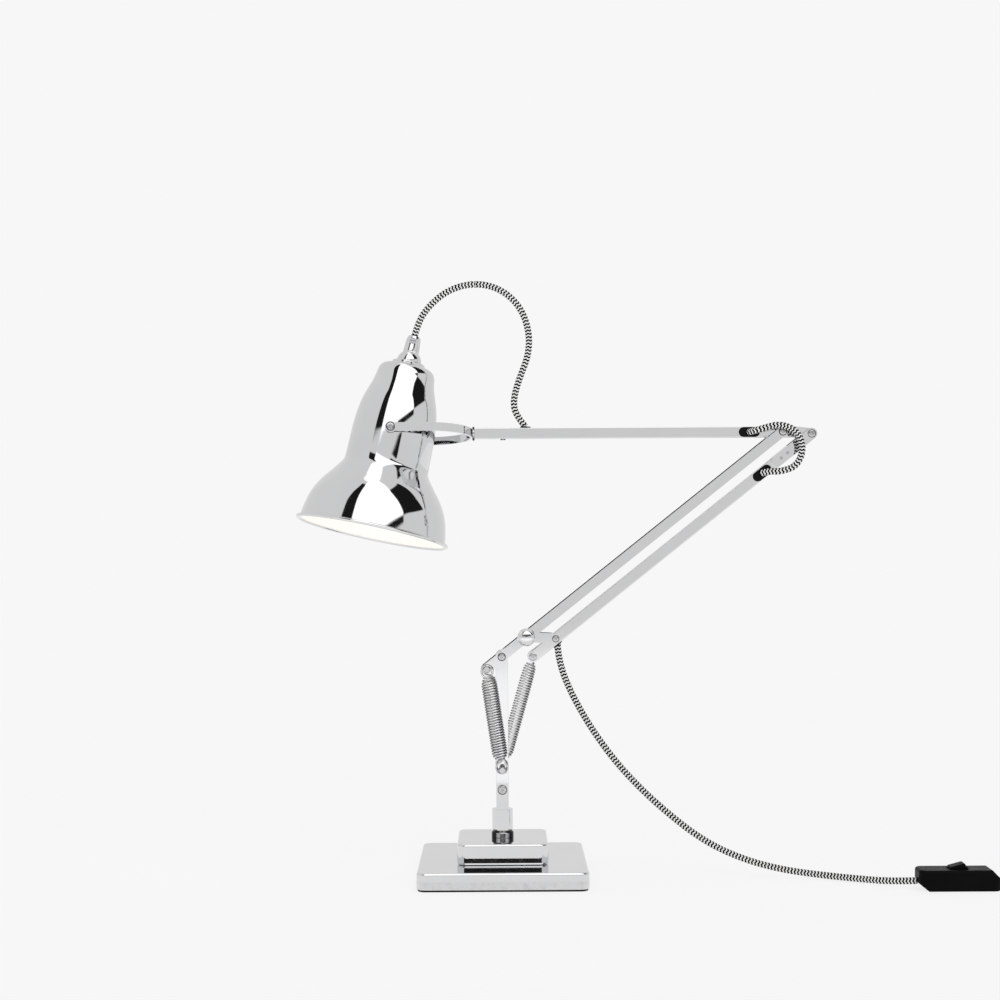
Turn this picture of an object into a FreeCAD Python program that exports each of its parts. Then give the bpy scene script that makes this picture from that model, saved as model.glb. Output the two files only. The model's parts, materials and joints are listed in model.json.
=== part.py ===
import FreeCAD, Part
import math
import os

# Swing arm desk lamp. Millimetres and degrees.
# +Z is up, X runs along the arms, -Y is the near side.
# The origin is the centre of the base's underside.

V = FreeCAD.Vector
ORIGIN = V(0, 0, 0)
AXIS_X = V(1, 0, 0)
AXIS_Y = V(0, 1, 0)
AXIS_Z = V(0, 0, 1)
NEAR = -1
FAR = 1
SIDES = (NEAR, FAR)

# Driving dimensions: clearances
RUNNING_FIT = 0.05
FACE_GAP = 0.2
CLEAR_HOLE = 0.1
OPEN_PIVOT_CLEARANCE = 0.1

# Driving dimensions: base
BASE_WIDTH = 165.8
BASE_CORNER = 9.0
BASE_TOP = 18.0
STEP_WIDTH = 89.5
STEP_TOP = 38.6
COVER_WALL = 1.6
EDGE_ROUND = 2.8
PAD_THICKNESS = 2.0
PAD_INSET = 1.2
WEIGHT_GAP = 1.0
COVER_SCREW_INSET = 22.0
COVER_SCREW_R = 1.5
COVER_SCREW_HEAD_R = 3.5
COVER_SCREW_HEAD_H = 2.4
COVER_BOSS_R = 4.0
WEIGHT_WEB = 3.0

# Driving dimensions: swivel
SOCKET_R = 8.0
SOCKET_COLLAR_R = 11.0
SOCKET_COLLAR_H = 6.9
SOCKET_CHAMFER = 2.0
SOCKET_FOOT_Z = 5.0
SOCKET_NUT_AF = 22.0
SOCKET_NUT_H = 6.0
SOCKET_WASHER_H = 1.5
SPINDLE_R = 5.0
SPINDLE_FOOT_Z = 3.0
SPINDLE_CLIP_H = 1.2
SPINDLE_CLIP_DEPTH = 1.0
SPINDLE_CLIP_REACH = 2.2
LINER_WALL = 1.45
LINER_LENGTH = 25.0
LINER_FLANGE_H = 0.4
COLUMN_R = 10.35
COLUMN_HEIGHT = 20.5
TONGUE_HEIGHT = 29.5
SPINDLE_SEAT = 12.0

# Driving dimensions: post
POST_WIDTH = 12.2
POST_GAP = 14.4
POST_PLATE = 1.5
MAIN_PIVOT_Z = 219.0
HEAD_BOLT_DROP = 9.5
HEAD_BOLT_R = 3.0
HEAD_BOLT_HEAD_R = 4.8
SPRING_ANCHOR_Z = 107.4

# Driving dimensions: linkage
ARM_ANGLE = 38.4
LOWER_ARM_LENGTH = 358.0
LOWER_BAR_HEIGHT = 9.6
LOWER_BAR_THICKNESS = 2.4
LINK_PIVOT = 31.25
SPRING_PIN_TAIL = 19.0
SHORT_SIDE_X = 29.4
SHORT_SIDE_DROP = 1.9
LINK_HEIGHT = 10.0
LINK_THICKNESS = 2.0
ROD_SIDE = 11.2
ROD_WALL = 1.2
ROD_TAIL = 29.0
ROD_TUBE_START = 26.0
CHEEK_LENGTH = 44.0
CHEEK_THICKNESS = 2.0
ARM_HEIGHT = 11.1
ARM_WIDTH = ROD_SIDE - 0.4  # the arm's tail turns between the cheeks on the rod's sides
ARM_WALL = 1.2
ARM_REACH = 306.6
ARM_TUBE_BACK = 0.4
TUBE_EDGE_ROUND = 0.9

# Driving dimensions: pivots
PIVOT_R = 3.0
SMALL_PIVOT_R = 2.0
PIVOT_HEAD_R = 4.1
PIVOT_HEAD_H = 2.6
PIVOT_NUT_AF = 8.0
BUSH_R = 5.0
LINK_SCREW_HEAD_R = 3.5
LINK_SCREW_HEAD_H = 2.0
PIVOT_WASHER_H = 0.5
RIVET_R = 1.5
RIVET_PLACES = (31.0, 39.0)
CLAMP_SCREW_R = 1.5
CLAMP_SCREW_HEAD_R = 2.6
CLAMP_SCREW_FROM_ENTRY = 22.5
KNOB_R = 8.9
KNOB_LENGTH = 14.0
STUD_REACH = 7.0

# Driving dimensions: springs
OUTER_SPRING_R = 8.0
OUTER_SPRING_Y = 18.6
OUTER_COIL_START = 11.0
OUTER_COIL_LENGTH = 80.0
CENTRE_SPRING_R = 6.9
CENTRE_COIL_START = 12.0
CENTRE_COIL_LENGTH = 92.0
SPRING_WIRE = 1.4
SPRING_CONE = 6.0
SPRING_END_SHARE = 0.62
SPRING_BOLT_R = 2.5
SPRING_END_GAP = 0.8
SPRING_PIN_R = 3.0
SPRING_GROOVE = 0.5

# Driving dimensions: head
FORK_INNER_R = 43.6
FORK_THICKNESS = 2.4
FORK_HEIGHT = 8.2
FORK_STRAIGHT = 33.0
FORK_ROLL = -6.4
FORK_EAR_R = 5.4
SWIVEL_WASHER_R = 7.0
SWIVEL_WASHER_H = 2.0
SWIVEL_SCREW_HEAD_R = 4.6
SWIVEL_SCREW_HEAD_H = 3.0
SHADE_TILT = 12.0
SHADE_WALL = 0.9
SHADE_PIVOT_DROP = 70.0
NECK_TOP_R = 16.5
SHOULDER_MID_R = 26.6
SHOULDER_MID_DROP = 5.6
SHOULDER_R = 30.0
SHOULDER_DROP = 14.6
BODY_MID_R = 38.6
BODY_MID_DROP = 50.0
WAIST_R = 42.6
WAIST_DROP = 104.0
BELL_MID_R = 63.0
BELL_MID_DROP = 134.0
RIM_R = 73.8
RIM_DROP = 169.5
RIM_BEAD_R = 1.9
TILT_BOLT_R = 2.5
TILT_BOLT_HEAD_R = 4.3
TILT_WASHER_R = 5.5
HOLDER_STEM_R = 5.0
HOLDER_COLLAR_H = 4.0
HOLDER_DOME_H = 10.0
HOLDER_DOME_R = 12.3
GRIP_FOOT_R = 8.2
GRIP_TOP_R = 6.2
GRIP_HEIGHT = 17.0
GRIP_SCREW_R = 3.3
HOLDER_BODY_R = 19.5
HOLDER_BODY_H = 40.0
BULB_CAP_R = 13.2
BULB_CAP_H = 25.0
BULB_R = 30.0
BULB_LENGTH = 108.0
BULB_WALL = 0.8

# Driving dimensions: flex, switch and plug
FLEX_R = 3.25
CORD_EXIT_BACK = 2.0
FLEX_ENTRY_FROM_TAIL = 63.0
FLEX_EXIT_FROM_ELBOW = 32.5
FLEX_ENTRY_FROM_FRONT = 51.0
GROMMET_LENGTH = 21.0
GROMMET_WIDTH = 10.0
SLOT_LENGTH = 17.0
SLOT_WIDTH = 7.0
GROMMET_PROUD = 1.2
SWITCH_LENGTH = 78.0
SWITCH_WIDTH = 28.0
SWITCH_LOWER_H = 9.0
SWITCH_UPPER_H = 11.0
SWITCH_CORNER = 7.0
SWITCH_FOOT_ROUND = 1.5
SWITCH_EDGE_ROUND = 2.4
SWITCH_END_SLOPE = 9.0
SWITCH_WALL = 2.0
SWITCH_END_BLOCK = 14.0
SWITCH_SCREW_INSET = 9.5
SWITCH_SCREW_SPREAD = 8.2
SWITCH_SCREW_R = 1.2
SWITCH_SCREW_HEAD_R = 2.2
ROCKER_TOP = 14.0
ROCKER_BASE = 19.0
ROCKER_RISE = 6.3
ROCKER_BELLY = 3.0
ROCKER_WIDTH = 12.0
ROCKER_TILT = 15.0
ROCKER_PIVOT_DROP = 2.3
ROCKER_PIN_R = 1.2
ROCKER_WINDOW_GAP = 0.5
ROCKER_LUG = 2.5
PLUG_R = 18.5
PLUG_BODY_LENGTH = 34.0
PLUG_PIN_R = 2.4
PLUG_PIN_LENGTH = 19.0
PLUG_PIN_SPACING = 19.0
PLUG_PIN_ROOT = 6.0
PLUG_RELIEF_LENGTH = 24.0
COIL_OUTER_R = 46.3
COIL_INNER_R = 23.5
COIL_HEIGHT = 13.0

# Route of the free cord, from the control rod to the switch, and on to the coil and the plug.
POWER_FLEX_ROUTE = [
    (55.8, 0, 230.9), (57, 0, 212), (70.5, -1, 178.6), (91.4, -2, 142.5), (118.3, -3, 106.4),
    (153.6, -4, 70.8), (197, -7, 36), (236, -11, 17.4), (275, -18, 7.6), (313, -31, 4.4),
    (346, -49, 4.2), (372, -67, 5.2), (395, -79, 8.2),
]
SWITCH_END = V(395, -79, 8.2)
COIL_CENTRE = V(566, -37, 0)
TAIL_FLEX_ROUTE = [(0, 0, 0), (18, 0.5, -3.2), (38, 0.2, -4.8), (60, -0.6, -4.6), (81, -0.9, -4.7)]
PLUG_FLEX_ROUTE = [(43, -4, 9.8), (43.6, 9, 10.2), (43.4, 22, 14.2), (43, 34, 18.5), (43, 46, 18.5)]

# Derived levels and places
SOCKET_TOP = STEP_TOP + SOCKET_COLLAR_H
COLUMN_FOOT = SOCKET_TOP + LINER_FLANGE_H + CLEAR_HOLE
COLUMN_TOP = COLUMN_FOOT + COLUMN_HEIGHT
TONGUE_TOP = COLUMN_TOP + TONGUE_HEIGHT
POST_OUTER = POST_GAP / 2 + POST_PLATE
BAR_INNER = POST_OUTER + PIVOT_WASHER_H + CLEAR_HOLE
BAR_OUTER = BAR_INNER + LOWER_BAR_THICKNESS
ROD_HALF = ROD_SIDE / 2
ARM_HALF = ARM_WIDTH / 2
LINK_INNER = ROD_HALF + 0.3
LINK_OUTER = LINK_INNER + LINK_THICKNESS
CHEEK_OUTER = ROD_HALF + CHEEK_THICKNESS


def direction(angle):
    """Unit vector in the XZ plane, counter-clockwise from +X as seen from the near side."""
    return V(math.cos(math.radians(angle)), 0, math.sin(math.radians(angle)))


ALONG = direction(ARM_ANGLE)
MAIN_PIVOT = V(0, 0, MAIN_PIVOT_Z)
ELBOW = MAIN_PIVOT + ALONG * LOWER_ARM_LENGTH
SHORT_SIDE = V(SHORT_SIDE_X, 0, -SHORT_SIDE_DROP)
KNOB_PIVOT = MAIN_PIVOT + ALONG * LINK_PIVOT
LINK_END = KNOB_PIVOT + SHORT_SIDE
TAIL_PIVOT = ELBOW + SHORT_SIDE
ROD_END = LINK_END - ALONG * ROD_TAIL
SPRING_PIN = MAIN_PIVOT - ALONG * SPRING_PIN_TAIL
SPRING_ANCHOR = V(0, 0, SPRING_ANCHOR_Z)
ARM_FRONT = V(ELBOW.x - ARM_REACH, 0, ELBOW.z)
FORK_ROOT_X = ARM_FRONT.x - SWIVEL_WASHER_H - CLEAR_HOLE
FORK_CENTRE_X = FORK_ROOT_X - FORK_THICKNESS - FORK_INNER_R
TILT_PIVOT = V(FORK_CENTRE_X - FORK_STRAIGHT, 0, ARM_FRONT.z)
NECK_TOP = SHADE_PIVOT_DROP

nodes = {}


# Small helpers -------------------------------------------------------------------------------

def solid(shape):
    """The single solid of a boolean result."""
    shape = shape.removeSplitter()
    if len(shape.Solids) == 1:
        return shape.Solids[0]
    return Part.makeCompound(shape.Solids)


def largest(shape):
    return max(shape.Solids, key=lambda piece: piece.Volume)


def cut_all(shape, tools):
    for tool in tools:
        shape = shape.cut(tool)
    return shape


def add(name, *shapes):
    """File solids under a node; alike fasteners share one."""
    nodes.setdefault(name, []).extend(shapes)


def rod_z(radius, z0, z1, x=0.0, y=0.0):
    return Part.makeCylinder(radius, z1 - z0, V(x, y, z0), AXIS_Z)


def rod_y(centre, radius, y0, y1):
    low, high = sorted((y0, y1))
    return Part.makeCylinder(radius, high - low, V(centre.x, low, centre.z), AXIS_Y)


def ring_y(centre, outer, inner, y0, y1):
    return rod_y(centre, outer, y0, y1).cut(rod_y(centre, inner, y0, y1))


def prism(points, vector):
    """Extruded polygon."""
    wire = Part.makePolygon([V(*p) for p in points] + [V(*points[0])])
    return Part.Face(wire).extrude(vector)


def hexagon_y(centre, across_flats, y0, y1):
    radius = across_flats / math.sqrt(3)
    low, high = sorted((y0, y1))
    corners = []
    for step in range(6):
        turn = math.radians(60 * step)
        corners.append((centre.x + radius * math.cos(turn), low, centre.z + radius * math.sin(turn)))
    return prism(corners, V(0, high - low, 0))


def turned(outline, base=ORIGIN, axis=AXIS_Z):
    """Solid of revolution from (radius, height) points, turned about the axis through base."""
    wire = Part.makePolygon([V(r, 0, z) for r, z in outline] + [V(outline[0][0], 0, outline[0][1])])
    shape = Part.Face(wire).revolve(ORIGIN, AXIS_Z, 360)
    return stand(shape, base, axis)


def stand(shape, base, axis):
    """Carry a shape drawn about +Z onto another axis."""
    shape = shape.copy()
    shape.Placement = FreeCAD.Placement(base, FreeCAD.Rotation(AXIS_Z, axis))
    return shape


def edges_at(shape, test):
    return [edge for edge in shape.Edges if all(test(vertex.Point) for vertex in edge.Vertexes)]


def rounded_slab(width, z0, z1, corner, top_round=0.0):
    """Square slab on the Z axis with rounded plan corners and, if asked, a rounded top edge."""
    box = Part.makeBox(width, width, z1 - z0, V(-width / 2, -width / 2, z0))
    upright = [e for e in box.Edges if abs(e.Vertexes[0].Z - e.Vertexes[-1].Z) > 1e-6]
    slab = box.makeFillet(corner, upright)
    if top_round:
        slab = slab.makeFillet(top_round, edges_at(slab, lambda p: abs(p.z - z1) < 1e-6))
    return slab


def strip(start, end, height, y0, y1):
    """Flat bar with round ends centred on two pivots."""
    low, high = sorted((y0, y1))
    along = (end - start).normalize()
    across = V(-along.z, 0, along.x) * (height / 2)
    level = V(0, low, 0)
    a, b, c, d = start + across, end + across, end - across, start - across
    wire = Part.Wire([
        Part.LineSegment(a + level, b + level).toShape(),
        Part.Arc(b + level, end + along * (height / 2) + level, c + level).toShape(),
        Part.LineSegment(c + level, d + level).toShape(),
        Part.Arc(d + level, start - along * (height / 2) + level, a + level).toShape(),
    ])
    return Part.Face(wire).extrude(V(0, high - low, 0))


def box_tube(length, width, height, wall):
    """Square tube along +X from the origin, with softened long edges."""
    outer = Part.makeBox(length, width, height, V(0, -width / 2, -height / 2))
    outer = outer.makeFillet(TUBE_EDGE_ROUND, [e for e in outer.Edges if abs(e.tangentAt(0).x) > 0.9])
    inner = Part.makeBox(length, width - 2 * wall, height - 2 * wall,
                         V(0, wall - width / 2, wall - height / 2))
    return outer, inner


def swung(shape, pivot, angle):
    """Shape drawn along +X, turned up by angle about Y and moved to pivot."""
    shape = shape.copy()
    shape.Placement = FreeCAD.Placement(pivot, FreeCAD.Rotation(AXIS_Y, -angle))
    return shape


def domed_head(centre, radius, height, y0, side, recess=2.0):
    """Low round head on a face at y0, with a hexagon socket."""
    head = turned([(0, 0), (radius, 0), (radius, height * 0.55), (radius * 0.8, height * 0.9),
                   (radius * 0.5, height), (0, height)], V(centre.x, y0, centre.z), V(0, side, 0))
    socket = hexagon_y(centre, recess, y0 + side * height * 0.4, y0 + side * (height + 1))
    return head.cut(socket)


def through_bolt(centre, radius, outer_y, head_r, head_h, nut_af):
    """Bolt across the lamp: head on the near face, hexagon nut on the far face."""
    shank = rod_y(centre, radius, -outer_y, outer_y + head_h)
    bolt = solid(shank.fuse(domed_head(centre, head_r, head_h, -outer_y, NEAR)))
    nut = hexagon_y(centre, nut_af, outer_y, outer_y + head_h).cut(shank)
    return bolt, nut


def flex_tube(name, route, radius=FLEX_R):
    """Round cord along a route: straight runs joined by tangent arcs."""
    points = [V(*p) for p in route]
    edges = []
    radii = []
    here = points[0]
    for i in range(1, len(points) - 1):
        back, ahead = points[i - 1] - points[i], points[i + 1] - points[i]
        shorter = min(back.Length, ahead.Length)
        half_turn = (math.pi - back.getAngle(ahead)) / 2
        cut = 0.45 * shorter
        radii.append(cut / math.tan(half_turn))
        start = points[i] + back.normalize() * cut
        end = points[i] + ahead.normalize() * cut
        bisector = (back + ahead).normalize()
        centre_distance = cut / math.sin(half_turn)
        middle = points[i] + bisector * (centre_distance - radii[-1])
        edges.append(Part.LineSegment(here, start).toShape())
        edges.append(Part.Arc(start, middle, end).toShape())
        here = end
    edges.append(Part.LineSegment(here, points[-1]).toShape())
    path = Part.Wire(edges)
    circle = Part.Wire(Part.Circle(points[0], points[1] - points[0], radius).toShape())
    tube = path.makePipeShell([circle], True, True)
    expected = math.pi * radius ** 2 * path.Length
    print(f"{name}: length {path.Length:.0f}, volume/expected {tube.Volume / expected:.3f}, radii "
          + " ".join(f"{r:.0f}" for r in radii))
    return tube.Solids[0]


# Base ----------------------------------------------------------------------------------------

def screw_places():
    reach = BASE_WIDTH / 2 - COVER_SCREW_INSET
    return [(sx * reach, sy * reach) for sx in (-1, 1) for sy in (-1, 1)]


def make_base():
    ceiling = BASE_TOP - COVER_WALL
    step_ceiling = STEP_TOP - COVER_WALL
    boss_foot = PAD_THICKNESS + COVER_SCREW_HEAD_H + WEIGHT_GAP + WEIGHT_WEB + WEIGHT_GAP
    web_foot = PAD_THICKNESS + COVER_SCREW_HEAD_H + WEIGHT_GAP

    pad = rounded_slab(BASE_WIDTH - 2 * PAD_INSET, 0, PAD_THICKNESS, BASE_CORNER - PAD_INSET)
    add("base_pad", pad)

    # Two pressings: a tray with a window in its top, and a smaller one that stands on the window's edge
    inner_corner = BASE_CORNER - COVER_WALL
    window = rounded_slab(STEP_WIDTH - 2 * COVER_WALL, PAD_THICKNESS, step_ceiling, inner_corner)
    tray = rounded_slab(BASE_WIDTH, PAD_THICKNESS, BASE_TOP, BASE_CORNER, EDGE_ROUND)
    tray = tray.cut(rounded_slab(BASE_WIDTH - 2 * COVER_WALL, PAD_THICKNESS, ceiling, inner_corner))
    tray = tray.cut(window)
    for x, y in screw_places():
        tray = tray.fuse(rod_z(COVER_BOSS_R, boss_foot, ceiling, x, y))
        tray = tray.cut(rod_z(COVER_SCREW_R, boss_foot - 1, ceiling - 1, x, y))
    step = rounded_slab(STEP_WIDTH, BASE_TOP, STEP_TOP, BASE_CORNER, EDGE_ROUND)
    step = step.cut(window).cut(rod_z(SOCKET_R + CLEAR_HOLE, 0, STEP_TOP + 1))
    add("base_cover", solid(tray), solid(step))

    fit = 2 * (COVER_WALL + WEIGHT_GAP)
    weight = rounded_slab(BASE_WIDTH - fit, PAD_THICKNESS, ceiling - WEIGHT_GAP, inner_corner - WEIGHT_GAP)
    weight = weight.fuse(rounded_slab(STEP_WIDTH - fit, PAD_THICKNESS, step_ceiling,
                                      inner_corner - WEIGHT_GAP))
    recess_top = SOCKET_FOOT_Z + SOCKET_NUT_H + SOCKET_WASHER_H
    weight = weight.cut(rod_z(SOCKET_NUT_AF * 0.7, 0, recess_top))
    weight = weight.cut(rod_z(SOCKET_R + CLEAR_HOLE, 0, STEP_TOP))
    screws = []
    for x, y in screw_places():
        weight = weight.cut(rod_z(COVER_SCREW_HEAD_R + WEIGHT_GAP, 0, web_foot, x, y))
        weight = weight.cut(rod_z(COVER_SCREW_R + CLEAR_HOLE, 0, ceiling, x, y))
        weight = weight.cut(rod_z(COVER_BOSS_R + WEIGHT_GAP, web_foot + WEIGHT_WEB, ceiling, x, y))
        head = rod_z(COVER_SCREW_HEAD_R, web_foot - COVER_SCREW_HEAD_H, web_foot, x, y)
        slot = Part.makeBox(2 * COVER_SCREW_HEAD_R, 1.0, 1.2,
                            V(x - COVER_SCREW_HEAD_R, y - 0.5, web_foot - COVER_SCREW_HEAD_H))
        screws.append(head.fuse(rod_z(COVER_SCREW_R, web_foot, boss_foot + 5.0, x, y)).cut(slot))
    add("base_weight", solid(weight))
    add("base_fasteners", *[solid(s) for s in screws])


def make_socket():
    body = rod_z(SOCKET_R, SOCKET_FOOT_Z, STEP_TOP + 1)
    collar = turned([(0, STEP_TOP), (SOCKET_COLLAR_R, STEP_TOP),
                     (SOCKET_COLLAR_R, SOCKET_TOP - SOCKET_CHAMFER),
                     (SOCKET_COLLAR_R - SOCKET_CHAMFER, SOCKET_TOP), (0, SOCKET_TOP)])
    liner_r = SPINDLE_R + RUNNING_FIT + LINER_WALL
    liner_foot = SOCKET_TOP - LINER_LENGTH
    socket = body.fuse(collar).cut(rod_z(SPINDLE_R + 4 * CLEAR_HOLE, 0, SOCKET_TOP + 1))
    socket = socket.cut(rod_z(liner_r, liner_foot, SOCKET_TOP + 1))
    add("spindle_socket", solid(socket))

    liner = rod_z(liner_r, liner_foot, SOCKET_TOP).fuse(
        rod_z(SOCKET_COLLAR_R - SOCKET_CHAMFER, SOCKET_TOP, SOCKET_TOP + LINER_FLANGE_H))
    add("swivel_liner", solid(liner.cut(rod_z(SPINDLE_R + RUNNING_FIT, 0, SOCKET_TOP + 1))))

    nut_top = SOCKET_FOOT_Z + SOCKET_NUT_H
    radius = SOCKET_NUT_AF / math.sqrt(3)
    corners = [(radius * math.cos(math.radians(60 * k)), radius * math.sin(math.radians(60 * k)),
                SOCKET_FOOT_Z) for k in range(6)]
    nut = prism(corners, V(0, 0, SOCKET_NUT_H)).cut(rod_z(SOCKET_R, 0, STEP_TOP))
    add("base_fasteners", nut)
    washer = rod_z(SOCKET_NUT_AF * 0.6, nut_top, nut_top + SOCKET_WASHER_H)
    add("base_fasteners", washer.cut(rod_z(SOCKET_R, 0, STEP_TOP)))


# Post, which swivels on the base -----------------------------------------------------------------

def make_post():
    clip_top = SOCKET_FOOT_Z - FACE_GAP
    clip_foot = clip_top - SPINDLE_CLIP_H
    spindle = rod_z(SPINDLE_R, SPINDLE_FOOT_Z, COLUMN_FOOT + SPINDLE_SEAT)
    neck = rod_z(SPINDLE_R - SPINDLE_CLIP_DEPTH, clip_foot, clip_top)
    spindle = spindle.cut(rod_z(SPINDLE_R + 1, clip_foot, clip_top).cut(neck))
    clip = rod_z(SPINDLE_R + SPINDLE_CLIP_REACH, clip_foot, clip_top).cut(neck)
    add("spindle", solid(spindle), solid(clip))

    column = turned([(0, COLUMN_FOOT), (COLUMN_R - 0.8, COLUMN_FOOT), (COLUMN_R, COLUMN_FOOT + 0.8),
                     (COLUMN_R, COLUMN_TOP), (0, COLUMN_TOP)])
    flats = Part.makeBox(4 * COLUMN_R, 2 * POST_OUTER, COLUMN_HEIGHT + 2,
                         V(-2 * COLUMN_R, -POST_OUTER, COLUMN_FOOT - 1))
    tongue = Part.makeBox(POST_WIDTH, POST_GAP, TONGUE_HEIGHT, V(-POST_WIDTH / 2, -POST_GAP / 2, COLUMN_TOP))
    bolt_at = V(0, 0, TONGUE_TOP - HEAD_BOLT_DROP)
    head = column.common(flats).fuse(tongue).cut(rod_z(SPINDLE_R, 0, COLUMN_FOOT + SPINDLE_SEAT))
    head = head.cut(rod_y(bolt_at, HEAD_BOLT_R, -POST_GAP, POST_GAP))
    add("swivel_head", solid(head))

    for side in SIDES:
        inner = side * POST_GAP / 2
        outer = side * POST_OUTER
        foot = V(0, 0, COLUMN_TOP + POST_WIDTH / 2)
        plate = strip(foot, MAIN_PIVOT, POST_WIDTH, inner, outer)
        low = min(inner, outer)
        plate = plate.fuse(Part.makeBox(POST_WIDTH, POST_PLATE, POST_WIDTH / 2,
                                        V(-POST_WIDTH / 2, low, COLUMN_TOP)))
        plate = plate.cut(rod_y(bolt_at, HEAD_BOLT_R, -POST_GAP, POST_GAP))
        plate = plate.cut(rod_y(SPRING_ANCHOR, SPRING_PIN_R, -POST_GAP, POST_GAP))
        plate = plate.cut(rod_y(MAIN_PIVOT, PIVOT_R + RUNNING_FIT, -POST_GAP, POST_GAP))
        add("post_plates", solid(plate))

    bolt, nut = through_bolt(bolt_at, HEAD_BOLT_R, POST_OUTER, HEAD_BOLT_HEAD_R, 2.2, PIVOT_NUT_AF)
    add("head_bolt", bolt, nut)
    bore = PIVOT_R + RUNNING_FIT
    add("main_pivot_spacers", ring_y(MAIN_PIVOT, BUSH_R, bore, -POST_GAP / 2, POST_GAP / 2))
    for side in SIDES:
        add("main_pivot_spacers", ring_y(MAIN_PIVOT, BUSH_R, bore, side * POST_OUTER,
                                         side * (POST_OUTER + PIVOT_WASHER_H)))

    reach = OUTER_SPRING_Y + SPRING_WIRE + 3.0
    pin = rod_y(SPRING_ANCHOR, SPRING_PIN_R, -reach, reach)
    for side in SIDES:
        groove = ring_y(SPRING_ANCHOR, SPRING_PIN_R + 1, SPRING_PIN_R - SPRING_GROOVE,
                        side * (OUTER_SPRING_Y - SPRING_WIRE), side * (OUTER_SPRING_Y + SPRING_WIRE))
        pin = pin.cut(groove)
    add("spring_anchor_pin", solid(pin))


# Lower arm -----------------------------------------------------------------------------------

def make_lower_arm():
    for side in SIDES:
        bar = strip(SPRING_PIN, ELBOW, LOWER_BAR_HEIGHT, side * BAR_INNER, side * BAR_OUTER)
        for centre in (MAIN_PIVOT, KNOB_PIVOT, ELBOW):
            bar = bar.cut(rod_y(centre, PIVOT_R, -2 * BAR_OUTER, 2 * BAR_OUTER))
        bar = bar.cut(rod_y(SPRING_PIN, SPRING_PIN_R, -2 * BAR_OUTER, 2 * BAR_OUTER))
        add("lower_bars", solid(bar))

    for centre in (MAIN_PIVOT, ELBOW):
        bolt, nut = through_bolt(centre, PIVOT_R, BAR_OUTER, PIVOT_HEAD_R, PIVOT_HEAD_H, PIVOT_NUT_AF)
        add("lower_arm_bolts", bolt)
        add("lower_arm_nuts", nut)

    reach = OUTER_SPRING_Y + SPRING_WIRE + 2.0
    for side in SIDES:
        pin = rod_y(SPRING_PIN, SPRING_PIN_R, side * BAR_INNER, side * reach)
        pin = pin.fuse(rod_y(SPRING_PIN, SPRING_PIN_R + 1.2, side * BAR_OUTER, side * (BAR_OUTER + 1.2)))
        groove = ring_y(SPRING_PIN, SPRING_PIN_R + 1, SPRING_PIN_R - SPRING_GROOVE,
                        side * (OUTER_SPRING_Y - SPRING_WIRE), side * (OUTER_SPRING_Y + SPRING_WIRE))
        add("outer_spring_pins", solid(pin.cut(groove)))

    stud = rod_y(KNOB_PIVOT, PIVOT_R, -BAR_OUTER - STUD_REACH, BAR_OUTER + PIVOT_HEAD_H)
    add("lower_arm_bolts", stud)
    nut = hexagon_y(KNOB_PIVOT, PIVOT_NUT_AF + 2, BAR_OUTER, BAR_OUTER + PIVOT_HEAD_H)
    add("lower_arm_nuts", nut.cut(stud))
    for side in SIDES:
        add("lower_arm_nuts", ring_y(KNOB_PIVOT, BUSH_R, PIVOT_R + RUNNING_FIT,
                                     side * (LINK_OUTER + FACE_GAP), side * BAR_INNER))


def make_knob():
    face = -BAR_OUTER - FACE_GAP
    knob = turned([(0, 0), (KNOB_R * 0.82, 0), (KNOB_R, 1.2), (KNOB_R, 3.4), (KNOB_R * 0.86, 4.4),
                   (KNOB_R * 0.8, KNOB_LENGTH - 4.5), (KNOB_R * 0.66, KNOB_LENGTH - 1.8),
                   (KNOB_R * 0.36, KNOB_LENGTH - 0.3), (0, KNOB_LENGTH)],
                  V(KNOB_PIVOT.x, face, KNOB_PIVOT.z), V(0, NEAR, 0))
    add("friction_knob", solid(knob.cut(rod_y(KNOB_PIVOT, PIVOT_R + RUNNING_FIT, face,
                                              -BAR_OUTER - STUD_REACH - FACE_GAP))))


# Cross links and control rod -----------------------------------------------------------------

def make_cross_links():
    for side in SIDES:
        link = strip(KNOB_PIVOT, LINK_END, LINK_HEIGHT, side * LINK_INNER, side * LINK_OUTER)
        link = link.cut(rod_y(KNOB_PIVOT, PIVOT_R + RUNNING_FIT, -BAR_OUTER, BAR_OUTER))
        link = link.cut(rod_y(LINK_END, SMALL_PIVOT_R, -BAR_OUTER, BAR_OUTER))
        add("cross_links", solid(link))
        shank = rod_y(LINK_END, SMALL_PIVOT_R, side * (ROD_HALF - ROD_WALL), side * LINK_OUTER)
        head = domed_head(LINK_END, LINK_SCREW_HEAD_R, LINK_SCREW_HEAD_H, side * LINK_OUTER, side, 1.6)
        add("link_screws", solid(shank.fuse(head)))


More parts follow.
